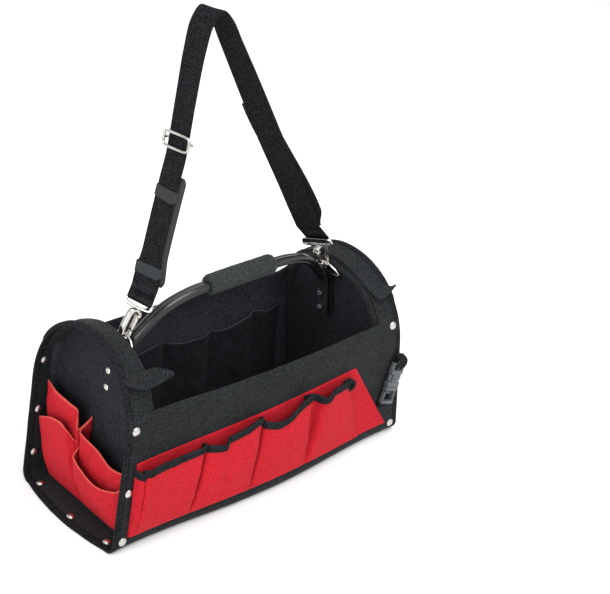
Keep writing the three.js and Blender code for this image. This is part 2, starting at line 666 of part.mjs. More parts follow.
function makeHook(side) {
  const placed = new THREE.Group();
  placed.position.set(side.way * ringTop.x, ringY(side.way), ringTop.z);
  placed.rotation.set(0, -side.way * HOOK.tilt, 0);
  const turned = new THREE.Group();
  turned.rotation.z = side.way > 0 ? Math.PI : 0;
  placed.add(turned);
  bag.add(placed);
  add(`hook_${side.name}`, hookBody(), STEEL, turned);
  add(`gate_${side.name}`, hookGate(), STEEL, turned);
}

// Shoulder strap

const eyeAt = (way) => new THREE.Vector3(
  way * (ringTop.x - HOOK.eyeHigh * Math.sin(HOOK.tilt)),
  ringY(way),
  ringTop.z + HOOK.eyeHigh * Math.cos(HOOK.tilt),
);

/** The direction of the bar of a hook's eye, which is turned to the flat of the strap. */
const eyeBar = (way) => new THREE.Vector3(
  Math.sin(STRAP_TURN) * Math.cos(HOOK.tilt),
  -Math.cos(STRAP_TURN),
  way * Math.sin(STRAP_TURN) * Math.sin(HOOK.tilt),
);

// The strap's line between its two hooks, seen from the front
const STRAP_LINE = [
  { x: -135, z: 278 },
  { x: -126, z: 312 },
  { x: -111, z: 370 },
  { x: -101, z: 425 },
  { x: -93, z: 490 },
  { x: -85, z: 545 },
  { x: -77, z: 577 },
  { x: -64, z: 591 },
  { x: -51, z: 580 },
  { x: -34, z: 550 },
  { x: -8, z: 505 },
  { x: 36, z: 428 },
  { x: 84, z: 350 },
  { x: 124, z: 286 },
];

function strapCurve() {
  const [left, right] = [eyeAt(-1), eyeAt(1)];
  const points = STRAP_LINE.map(({ x, z }) => {
    const y = mix(left.y, right.y, (x - left.x) / (right.x - left.x));
    return new THREE.Vector3(x, y, z);
  });
  return new THREE.CatmullRomCurve3(points, false, 'centripetal');
}

const strapLine = strapCurve();

/** Place and directions of the strap at a share of its length: along it, across its width and out of the loop. */
function strapFrame(share) {
  const point = strapLine.getPointAt(share);
  const along = strapLine.getTangentAt(share);
  const settle = Math.min(share, 1 - share, STRAP_SETTLE) / STRAP_SETTLE;
  const turned = new THREE.Vector3(Math.sin(STRAP_TURN), -Math.cos(STRAP_TURN), 0);
  const side = eyeBar(share < 0.5 ? -1 : 1).lerp(turned, settle);
  side.addScaledVector(along, -side.dot(along)).normalize();
  const out = new THREE.Vector3().crossVectors(side, along);
  return { point, along, side, out };
}

/** A stretch of webbing on the strap's line, between two distances out of the loop. */
function strapStretch(from, to, steps, width, inner, outer, shift = 0) {
  const rows = count(steps).map((t) => {
    const { point, side } = strapFrame(mix(from, to, t));
    return { point: point.addScaledVector(side, shift), side };
  });
  return ribbon(rows, width, inner, outer);
}

/** The webbing turned round the eye of a hook and laid back along itself, from the free end to the run. */
function strapTurn(way) {
  const { point } = strapFrame(way < 0 ? 0 : 1);
  const side = eyeBar(way);
  const eye = eyeAt(way);
  const away = point.clone().sub(eye);
  away.addScaledVector(side, -away.dot(side)).normalize();
  const out = new THREE.Vector3().crossVectors(side, away).multiplyScalar(-way);
  const bend = EYE_WIRE + 3 * GAP + STRAP.thick / 2;
  const arc = count(6).map((t) => {
    const angle = Math.PI * t;
    const on = eye.clone().addScaledVector(away, -bend * Math.sin(angle));
    return { point: on.addScaledVector(out, -bend * Math.cos(angle)), side };
  });
  const lap = { point: arc[0].point.clone().addScaledVector(away, STRAP_LAP), side };
  return [lap, ...arc];
}

function makeStrap() {
  const half = STRAP.thick / 2;
  const run = count(36).map((t) => strapFrame(mix(STRAP_START, 1 - STRAP_START, t)));
  const rows = [...strapTurn(-1), ...run, ...strapTurn(1).reverse()];
  add('shoulder_strap', ribbon(rows, STRAP.width, -half, half), BLACK_WEB);
  const over = half + GAP;
  const tail = strapStretch(TAIL.from, TAIL.to, 12, STRAP.width, over, over + STRAP.tail, TAIL.shift);
  add('strap_tail', tail, BLACK_WEB);
  const pad = strapStretch(PAD.from, PAD.to, 10, PAD.width, -over - PAD.thick, -over);
  add('shoulder_pad', pad, GREY_RUBBER);
}

/** Moves a geometry made on the axes across, out and along to its place on the strap. */
function onStrap(geometry, share) {
  const { point, along, side, out } = strapFrame(share);
  return geometry.applyMatrix4(new THREE.Matrix4().makeBasis(side, out, along.negate()).setPosition(point));
}

function makeStrapFittings() {
  const half = STRAP.thick / 2;
  const outer = half + 2 * GAP;
  const inner = -half - PAD.thick - 3 * GAP;
  KEEPERS.forEach(({ name, share }) => {
    const band = new THREE.Shape();
    const wide = PAD.width / 2 + 2 * GAP;
    const wall = KEEPER.thick;
    outline(band, rectangle(-wide - wall, inner - wall, wide + wall, outer + wall));
    band.holes.push(outline(new THREE.Path(), rectangle(-wide, inner, wide, outer)));
    const geometry = new THREE.ExtrudeGeometry(band, { depth: KEEPER.length, bevelEnabled: false });
    geometry.translate(0, 0, -KEEPER.length / 2);
    add(name, onStrap(closedOf(geometry), share), GREY_RUBBER);
  });
  const beam = SLIDER.bar;
  const rail = (way) => new THREE.BoxGeometry(beam, 2 * half + 2 * beam + 4 * GAP, SLIDER.length)
    .translate(way * (STRAP.width / 2 + GAP + beam / 2), 0, 0);
  const rung = (out, along) => new THREE.BoxGeometry(STRAP.width + 2 * beam, beam, beam)
    .translate(0, out * (half + 2 * GAP + beam / 2), along);
  const end = (SLIDER.length - beam) / 2;
  const slider = joined([rail(-1), rail(1), rung(1, -end), rung(1, end), rung(-1, 0)]);
  add('strap_slider', onStrap(slider, SLIDER.share), STEEL);
}

// Side-release buckle on the right flange of the front wall

const rectangle = (x0, y0, x1, y1) => [[x0, y0], [x1, y0], [x1, y1], [x0, y1]];

function outline(path, corners) {
  corners.forEach(([x, y], i) => (i ? path.lineTo(x, y) : path.moveTo(x, y)));
  path.closePath();
  return path;
}

function closedOf(geometry) {
  return facingOut(mergeVertices(positionOnly(geometry), 1e-4));
}

/** A plate cut to an outline with slots, standing in the XZ plane. */
function plate(corners, slots, thick) {
  const shape = outline(new THREE.Shape(), corners);
  slots.forEach((slot) => shape.holes.push(outline(new THREE.Path(), rectangle(...slot))));
  const geometry = new THREE.ExtrudeGeometry(shape, { depth: thick, bevelEnabled: false });
  return closedOf(geometry.translate(0, 0, -thick / 2).rotateX(Math.PI / 2));
}

/** A strip of webbing through a buckle's slot and back over its bar; way is 1 upwards. */
function buckleWeb(slot, way, reach) {
  const back = BUCKLE.thick / 2 + 1.6;
  const at = (y, z) => ({ point: new THREE.Vector3(0, y, z), side: new THREE.Vector3(1, 0, 0) });
  const rise = (t) => slot + way * t;
  return ribbon([
    at(back, rise(reach)),
    at(back, rise(3)),
    at(back - 0.6, rise(0.6)),
    at(back - 1.6, rise(0)),
    at(1.6 - back, rise(0)),
    at(0.6 - back, rise(0.6)),
    at(-back, rise(3)),
    at(-back - 1, rise(reach * 0.5)),
    at(1 - back, rise(reach * 0.8)),
    at(back - BUCKLE.web - 2 * GAP, rise(reach)),
  ], BUCKLE.webWidth, -BUCKLE.web / 2, BUCKLE.web / 2);
}

function makeBuckle() {
  const placed = new THREE.Group();
  const face = onFront(BUCKLE.x, BUCKLE.z, BUCKLE.thick / 2 + BUCKLE.web + 2.2);
  placed.position.copy(face);
  placed.rotation.y = BUCKLE.tilt;
  bag.add(placed);
  const half = BUCKLE.width / 2;
  const slotHalf = BUCKLE.webWidth / 2 + GAP;
  const socket = [
    [-half + 1, 0], [half - 1, 0], [half, 4], [half, 8],
    [half - 4, 10], [half - 4, 17], [half, 20], [half - 1, 33],
    [1 - half, 33], [-half, 20], [4 - half, 17], [4 - half, 10], [-half, 8], [-half, 4],
  ];
  const slotAt = (y) => [-slotHalf, y - 1.6, slotHalf, y + 1.6];
  const socketSlot = 28;
  add('buckle_socket', plate(socket, [slotAt(socketSlot)], BUCKLE.thick), GREY_PLASTIC, placed);
  const prongs = [
    [-half + 2, -GAP], [-half, -4], [-half, -22], [2 - half, -24],
    [half - 2, -24], [half, -22], [half, -4], [half - 2, -GAP],
  ];
  const prongSlot = -19;
  add('buckle_prongs', plate(prongs, [slotAt(prongSlot)], BUCKLE.thick), GREY_PLASTIC, placed);
  add('buckle_web_top', buckleWeb(socketSlot, 1, 22), BLACK_WEB, placed);
  add('buckle_web_low', buckleWeb(prongSlot, -1, 13), BLACK_WEB, placed);
}

// Rivets

/** A domed rivet head standing on a face. */
function makeRivet(name, point, normal) {
  const { radius, height } = RIVET;
  const dome = [[0, 0], [radius, 0], [radius, 0.35 * height], [0.62 * radius, 0.85 * height], [0, height]];
  const geometry = new THREE.LatheGeometry(dome.map(([r, h]) => new THREE.Vector2(r, h)), 8);
  const rivet = add(name, closedOf(geometry), STEEL);
  rivet.position.copy(point).addScaledVector(normal, GAP);
  rivet.quaternion.setFromUnitVectors(new THREE.Vector3(0, 1, 0), normal);
}

/** The direction out of the front wall, or into the bag from the back wall, at a height. */
function wallNormal(z, way) {
  const slope = halfWidth(z + 1) - halfWidth(z - 1);
  return new THREE.Vector3(0, -2, -way * slope).normalize();
}

function makeRivets(side) {
  const flange = (z) => side.way * rimX(z, RIVET.inset);
  RIVETS_FRONT[side.name].forEach((z, i) => {
    makeRivet(`rivet_front_${side.name}_${i + 1}`, onFront(flange(z), z, 0), wallNormal(z, 1));
  });
  RIVETS_BACK.forEach((z, i) => {
    makeRivet(`rivet_back_${side.name}_${i + 1}`, onBackInside(flange(z), z, GAP), wallNormal(z, -1));
  });
  RIVETS_BASE.forEach((y, i) => {
    const edge = BODY_LENGTH / 2 + LEDGE_BOW * (1 - (y / bottomEdge) ** 2);
    const point = new THREE.Vector3(side.way * (edge - RIVET.inset), y, WALL);
    makeRivet(`rivet_base_${side.name}_${i + 1}`, point, new THREE.Vector3(0, 0, 1));
  });
}

makeBase();
makeWall('front_wall', -1, FRONT_TOP, FRONT_BOW);
makeWall('back_wall', 1, BACK_TOP, BACK_BOW);
SIDES.forEach((side) => {
  makeEndBoard(side);
  makeEndRim(side);
  makeHood(side);
  makeEndPockets(side);
  makeHandleBolts(side);
  makeRing(side);
  makeRingLoop(side);
  makeHook(side);
  makeRivets(side);
});
makeFrontPockets();
makeInnerPockets();
makeHandle();
makeStrap();
makeStrapFittings();
makeBuckle();

export default bag;
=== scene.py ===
"""Looks of an open-topped canvas tool bag with a riveted tube handle and a hooked shoulder strap.

Sizes are in millimetres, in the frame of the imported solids: the bag stands on its base at the origin, its front faces
-Y and its length runs along X.
"""

from __future__ import annotations

import logging
import math
from dataclasses import dataclass, field
from enum import Enum
from functools import cached_property
from typing import Any, Callable, Sequence

import bmesh
import bpy
from mathutils import Matrix, Vector, noise

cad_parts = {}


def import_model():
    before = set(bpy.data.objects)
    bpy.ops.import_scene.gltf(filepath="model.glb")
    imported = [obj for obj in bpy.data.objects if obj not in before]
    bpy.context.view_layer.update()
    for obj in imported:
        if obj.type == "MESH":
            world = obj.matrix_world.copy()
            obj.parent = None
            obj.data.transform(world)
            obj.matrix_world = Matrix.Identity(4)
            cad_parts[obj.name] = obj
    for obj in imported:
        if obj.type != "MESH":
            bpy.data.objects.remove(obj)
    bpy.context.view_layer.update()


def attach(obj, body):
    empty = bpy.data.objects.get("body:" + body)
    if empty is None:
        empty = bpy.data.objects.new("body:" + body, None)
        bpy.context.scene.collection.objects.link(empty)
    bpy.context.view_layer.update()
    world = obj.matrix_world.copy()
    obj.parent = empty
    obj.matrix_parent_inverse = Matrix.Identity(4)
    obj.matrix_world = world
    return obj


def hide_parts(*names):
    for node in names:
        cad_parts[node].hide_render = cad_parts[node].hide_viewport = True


log = logging.getLogger("tool_bag")

MM = 0.001
BODY = "bag"
Place = Callable[[float, float], Vector]
Pair = tuple[float, float]
Triple = tuple[float, float, float]
Colour = tuple[float, float, float]
Outline = tuple[Pair, ...]
Frame = tuple[Vector, Vector, Vector]


def mix(a: float, b: float, t: float) -> float:
    """Returns the value a share t of the way from a to b."""
    return a + (b - a) * t


def ease(t: float) -> float:
    """Returns t, held between 0 and 1 and eased at both ends."""
    t = min(max(t, 0.0), 1.0)
    return t * t * (3 - 2 * t)


def power(value: float, exponent: float) -> float:
    """Returns a power that keeps the sign of its base."""
    return math.copysign(abs(value) ** exponent, value)


def shares(steps: int) -> list[float]:
    """Returns the shares 0 to 1 in equal steps."""
    return [i / steps for i in range(steps + 1)]


def curve(a: float, b: float, slopes: Pair, t: float) -> float:
    """Returns a value between two points of a curve that has these slopes at them."""
    t2, t3 = t * t, t * t * t
    ends = (2 * t3 - 3 * t2 + 1) * a + (3 * t2 - 2 * t3) * b
    return ends + (t3 - 2 * t2 + t) * slopes[0] + (t3 - t2) * slopes[1]


def crumple(x: float, y: float, seed: float) -> float:
    """Returns a soft unevenness between about -1 and 1 at a place on a cloth."""
    return noise.noise(Vector((x, y, seed)))


class Track:
    """A line through points, measured along its length."""

    def __init__(self, points: Sequence[Vector], smooth: bool = False) -> None:
        """Measures the line.

        Args:
            points: the points it goes through.
            smooth: whether it bends smoothly through them.
        """
        self.points = self._bent(list(points)) if smooth else list(points)
        self.reach = [0.0]
        for a, b in zip(self.points, self.points[1:]):
            self.reach.append(self.reach[-1] + (b - a).length)

    @staticmethod
    def _bent(points: list[Vector], steps: int = 24) -> list[Vector]:
        """Returns the points of a smooth line, with steps between each two of the given points."""
        first, last = 2 * points[0] - points[1], 2 * points[-1] - points[-2]
        whole = [first, *points, last]
        out: list[Vector] = []
        for p0, p1, p2, p3 in zip(whole, whole[1:], whole[2:], whole[3:]):
            d0, d1, d2 = (max((b - a).length ** 0.5, 1e-4) for a, b in ((p0, p1), (p1, p2), (p2, p3)))
            m1 = ((p1 - p0) / d0 - (p2 - p0) / (d0 + d1) + (p2 - p1) / d1) * d1
            m2 = ((p2 - p1) / d1 - (p3 - p1) / (d1 + d2) + (p3 - p2) / d2) * d1
            for i in range(steps):
                t = i / steps
                t2, t3 = t * t, t * t * t
                at = (2 * t3 - 3 * t2 + 1) * p1 + (t3 - 2 * t2 + t) * m1 + (3 * t2 - 2 * t3) * p2 + (t3 - t2) * m2
                out.append(at)
        return [*out, points[-1].copy()]

    @property
    def length(self) -> float:
        """The line's length."""
        return self.reach[-1]

    def at(self, share: float) -> Vector:
        """Returns the point at a share of the length."""
        goal = min(max(share, 0.0), 1.0) * self.length
        low, high = 0, len(self.reach) - 1
        while high - low > 1:
            middle = (low + high) // 2
            low, high = (middle, high) if self.reach[middle] <= goal else (low, middle)
        span = self.reach[high] - self.reach[low]
        return self.points[low].lerp(self.points[high], (goal - self.reach[low]) / span if span else 0.0)

    def paced(self, share: float) -> Vector:
        """Returns the point at a share of the line's steps, whatever their lengths."""
        place = min(max(share, 0.0), 1.0) * (len(self.points) - 1)
        i = min(int(place), len(self.points) - 2)
        return self.points[i].lerp(self.points[i + 1], place - i)

    def tangent(self, share: float) -> Vector:
        """Returns the direction of the line at a share of its length."""
        step = 0.002
        return (self.at(min(share + step, 1)) - self.at(max(share - step, 0))).normalized()


class Value:
    """A number in a shader, with its arithmetic."""

    def __init__(self, shader: Shader, socket: bpy.types.NodeSocket) -> None:
        """Wraps an output socket of a shader's node."""
        self.shader = shader
        self.socket = socket

    def _math(self, operation: str, *values: Any) -> Value:
        """Returns the result of a Math node."""
        return self.shader.node("ShaderNodeMath", {"operation": operation}, dict(enumerate(values)))

    def __add__(self, other: Any) -> Value:
        """Returns the sum."""
        return self._math("ADD", self, other)

    __radd__ = __add__

    def __mul__(self, other: Any) -> Value:
        """Returns the product."""
        return self._math("MULTIPLY", self, other)

    __rmul__ = __mul__

    def __sub__(self, other: Any) -> Value:
        """Returns the difference."""
        return self._math("SUBTRACT", self, other)

    def __rsub__(self, other: Any) -> Value:
        """Returns the difference, this value being taken away."""
        return self._math("SUBTRACT", other, self)

    def sine(self) -> Value:
        """Returns the sine."""
        return self._math("SINE", self)

    def size(self) -> Value:
        """Returns the value without its sign."""
        return self._math("ABSOLUTE", self)

    def held(self) -> Value:
        """Returns the value held between 0 and 1."""
        return self.shader.node("ShaderNodeClamp", {}, {"Value": self})

    def ramp(self, low: float, high: float) -> Value:
        """Returns 0 below low, 1 above high and an even rise between them."""
        sockets = {"Value": self, "From Min": low, "From Max": high}
        return self.shader.node("ShaderNodeMapRange", {"clamp": True}, sockets)


class Shader:
    """The node tree of one material."""

    def __init__(self, name: str) -> None:
        """Starts a material with an output and a Principled shader."""
        self.material = bpy.data.materials.new(name)
        self.material.use_nodes = True
        self.tree = self.material.node_tree
        self.tree.nodes.clear()
        self.surface = self.tree.nodes.new("ShaderNodeBsdfPrincipled")
        end = self.tree.nodes.new("ShaderNodeOutputMaterial")
        self.tree.links.new(self.surface.outputs["BSDF"], end.inputs["Surface"])

    def node(self, kind: str, settings: dict[str, Any], inputs: dict[Any, Any], output: Any = 0) -> Value:
        """Adds a node.

        Args:
            kind: its Blender type.
            settings: its properties, set before its sockets.
            inputs: values or links for its sockets, by name or number.
            output: the output that is wanted, by name or number.

        Returns:
            That output.
        """
        made = self.tree.nodes.new(kind)
        for key, value in settings.items():
            setattr(made, key, value)
        for key, value in inputs.items():
            self.feed(made.inputs[key], value)
        return Value(self, made.outputs[output])

    def feed(self, socket: bpy.types.NodeSocket, value: Any) -> None:
        """Links a value to a socket, or sets the socket to a plain number or colour."""
        if isinstance(value, Value):
            self.tree.links.new(value.socket, socket)
        elif isinstance(value, tuple) and len(value) == 3 and socket.type == "RGBA":
            socket.default_value = (*value, 1.0)
        else:
            socket.default_value = value

    def set(self, **sockets: Any) -> None:
        """Sets sockets of the Principled shader, with _ for each space in a name."""
        for name, value in sockets.items():
            self.feed(self.surface.inputs[name.replace("_", " ")], value)

    def blend(self, factor: Any, first: Any, second: Any) -> Value:
        """Returns a mix of two colours; a Mix node's colour sockets are its seventh and eighth."""
        return self.node("ShaderNodeMix", {"data_type": "RGBA"}, {0: factor, 6: first, 7: second}, 2)

    def uv(self) -> tuple[Value, Value]:
        """Returns the two directions of the cloth, in millimetres."""
        coordinate = self.node("ShaderNodeUVMap", {"uv_map": "UVMap"}, {})
        x = self.node("ShaderNodeSeparateXYZ", {}, {0: coordinate}, 0)
        y = Value(self, x.socket.node.outputs[1])
        return x * 1000.0, y * 1000.0

    def cloud(self, scale: float, detail: float) -> Value:
        """Adds a noise over the piece.

        Args:
            scale: how many swells there are to a metre.
            detail: how many finer layers it has.

        Returns:
            The noise, between 0 and 1.
        """
        where = self.node("ShaderNodeTexCoord", {}, {}, "Object")
        return self.node("ShaderNodeTexNoise", {}, {"Vector": where, "Scale": scale, "Detail": detail})

    def place(self, axis: int) -> Value:
        """Returns the place along an axis of the bag, in metres."""
        where = self.node("ShaderNodeTexCoord", {}, {}, "Object")
        return self.node("ShaderNodeSeparateXYZ", {}, {0: where}, axis)

    def relief(self, height: Value, depth: float, strength: float = 1.0) -> None:
        """Gives the surface a relief of a depth in millimetres."""
        sockets = {"Height": height, "Distance": depth * MM, "Strength": strength}
        self.set(Normal=self.node("ShaderNodeBump", {}, sockets))


def srgb(red: int, green: int, blue: int) -> Colour:
    """Returns a colour given on the screen's scale as the light that it stands for."""
    def light(value: int) -> float:
        """Returns one channel."""
        share = value / 255
        return share / 12.92 if share <= 0.04045 else ((share + 0.055) / 1.055) ** 2.4

    return light(red), light(green), light(blue)


@dataclass(frozen=True)
class Canvas:
    """Heavy woven cloth: a plain weave with uneven threads, dust and rubbed edges."""

    name: str
    colour: Colour
    shade: Colour
    raw: Colour
    pitch: float = 0.9
    sheen: float = 0.04
    # How far from the middle, in millimetres, a finish's colours reach; past it the raw colour shows. The inside finish
    # uses this to end its painted light at the end boards.
    painted_light_to: float = 0
    slubs_per_m: float = 430.0
    patches_per_m: float = 16.0

    def build(self) -> bpy.types.Material:
        """Returns the material."""
        s = Shader(self.name)
        across, up = s.uv()
        turn = math.tau / self.pitch
        threads = (across * turn).sine() * (up * turn).sine()
        slub = s.cloud(self.slubs_per_m, 3.0).ramp(0.37, 0.63)
        patches = s.cloud(self.patches_per_m, 4.0).ramp(0.25, 0.75)
        height = threads * 0.5 + slub
        tone = (patches * 0.28 + slub * 0.72 + threads * 0.1).held()
        cloth = s.blend(tone, self.shade, self.colour)
        # The raw colour takes over past painted_light_to, where the painted light of the inside finish ends, or else
        # where the trim attribute marks a cut edge.
        if self.painted_light_to:
            raw_edge_or_unlit = s.place(0).size().ramp((self.painted_light_to - 2) * MM, (self.painted_light_to + 2) * MM)
        else:
            raw_edge_or_unlit = s.node("ShaderNodeAttribute", {"attribute_name": "trim"}, {}, "Fac")
        s.set(
            Base_Color=s.blend(raw_edge_or_unlit, cloth, self.raw),
            Roughness=0.78 + patches * 0.18,
            Sheen_Weight=self.sheen,
            Sheen_Roughness=0.45,
            Specular_IOR_Level=0.12,
        )
        s.relief(height, 0.22, 0.55)
        return s.material


@dataclass(frozen=True)
class Webbing:
    """Narrow woven tape, ribbed along its length with a herringbone of picks across it."""

    name: str
    colour: Colour
    shade: Colour
    rib: float = 2.4
    pick: float = 2.8
    slant: float = 1.1
    dust_per_m: float = 60.0
    grit_per_m: float = 430.0

    def build(self) -> bpy.types.Material:
        """Returns the material."""
        s = Shader(self.name)
        across, along = s.uv()
        ribs = (across * (math.tau / self.rib)).sine()
        bone = (across * (math.pi / self.rib)).sine().size() * self.slant
        picks = ((along + bone) * (math.tau / self.pick)).sine()
        dust = s.cloud(self.dust_per_m, 5.0)
        grit = s.cloud(self.grit_per_m, 2.0).ramp(0.36, 0.64)
        height = ribs * 0.4 + picks * 0.6
        tone = (grit * 0.55 + picks * 0.28 + ribs * 0.06 + 0.14).held()
        s.set(
            Base_Color=s.blend(tone, self.shade, self.colour),
            Roughness=0.62 + dust * 0.25,
            Specular_IOR_Level=0.05,
        )
        s.relief(height, 0.25, 0.7)
        return s.material


@dataclass(frozen=True)
class Coated:
    """Smooth moulded or coated material with a fine grain and rubbed places."""

    name: str
    colour: Colour
    worn: Colour
    rough: float
    grain: float
    coat: float = 0.0
    metal: float = 0.0
    gloss_from: Pair | None = None
    dulling: float = 0.45
    smears_per_m: float = 35.0
    grains_per_m: float = 1600.0

    def build(self) -> bpy.types.Material:
        """Returns the material."""
        s = Shader(self.name)
        smear = s.cloud(self.smears_per_m, 5.0)
        fine = s.cloud(self.grains_per_m, 2.0)
        rough: Value = self.rough + smear * 0.16 - 0.06
        coat: Any = self.coat
        if self.gloss_from:
            gloss = s.place(2).ramp(*(z * MM for z in self.gloss_from))
            rough = rough + (1.0 - gloss) * self.dulling
            coat = gloss * self.coat
        s.set(
            Base_Color=s.blend(smear.ramp(0.42, 0.75), self.colour, self.worn),
            Roughness=rough,
            Metallic=self.metal,
            Coat_Weight=coat,
            Coat_Roughness=0.12,
        )
        s.relief(fine, self.grain)
        return s.material


class Paint(Enum):
    """The finishes of the bag's pieces."""

    BLACK = Canvas("finish_black_canvas", srgb(42, 45, 47), srgb(12, 14, 16), srgb(60, 64, 64))
    LINING = Canvas("finish_black_lining", srgb(44, 45, 51), srgb(17, 17, 21), srgb(70, 72, 76), 0.7, 0.02)
    # Painted light: a lighter copy of the black canvas for the walls' inner faces, standing in for light falling inside
    # the bag. Past the end boards it turns back to plain black canvas.
    INSIDE = Canvas("finish_black_inside_painted_light", srgb(70, 71, 80), srgb(32, 32, 38), srgb(29, 31, 33), 0.8, 0.02, 192)
    RED = Canvas("finish_red_canvas", srgb(191, 33, 46), srgb(160, 16, 27), srgb(214, 92, 82), 0.8, 0.02)
    RED_EDGE = Canvas("finish_red_edge", srgb(212, 88, 80), srgb(190, 52, 52), srgb(214, 92, 82), 0.5)
    LINING_EDGE = Canvas("finish_lining_edge", srgb(80, 82, 88), srgb(60, 62, 68), srgb(86, 88, 94), 0.5)
    THREAD = Canvas("finish_black_thread", srgb(50, 53, 55), srgb(28, 30, 32), srgb(60, 63, 63), 0.5)
    TAPE = Webbing("finish_binding_tape", srgb(42, 44, 47), srgb(10, 11, 13), 1.6)
    WEB = Webbing("finish_black_webbing", srgb(43, 44, 47), srgb(1, 2, 2))
    TUBE = Coated("finish_black_tube", srgb(8, 9, 10), srgb(18, 21, 23), 0.28, 0.012, 0.34, 0.0, (196, 222))
    GRIP = Canvas("finish_grip_cloth", srgb(58, 63, 62), srgb(28, 31, 31), srgb(70, 74, 72), 1.1, 0.06)
    PLASTIC = Coated("finish_grey_plastic", srgb(64, 69, 72), srgb(84, 89, 92), 0.4, 0.04)
    RUBBER = Coated("finish_grey_rubber", srgb(21, 24, 27), srgb(30, 35, 38), 0.7, 0.08)
    STEEL = Coated("finish_bright_steel", (0.5, 0.48, 0.45), (0.7, 0.68, 0.64), 0.16, 0.01, 0.0, 1.0)
    RIVET = Coated("finish_rivet_steel", (0.5, 0.48, 0.45), (0.68, 0.66, 0.62), 0.3, 0.01, 0.0, 1.0)
    ZINC = Coated("finish_dull_zinc", srgb(88, 92, 100), srgb(112, 116, 122), 0.5, 0.02, 0.0, 0.5)
    DARK_STEEL = Coated("finish_dark_washer", (0.02, 0.02, 0.022), (0.06, 0.06, 0.06), 0.35, 0.02, 0.0, 0.8)

    def material(self) -> bpy.types.Material:
        """Returns the finish's material, made at its first use."""
        found = bpy.data.materials.get(self.value.name)
        return found or self.value.build()


def put(name: str, data: bpy.types.ID) -> bpy.types.Object:
    """Puts a new object into the scene."""
    made = bpy.data.objects.new(name, data)
    bpy.context.scene.collection.objects.link(made)
    return made


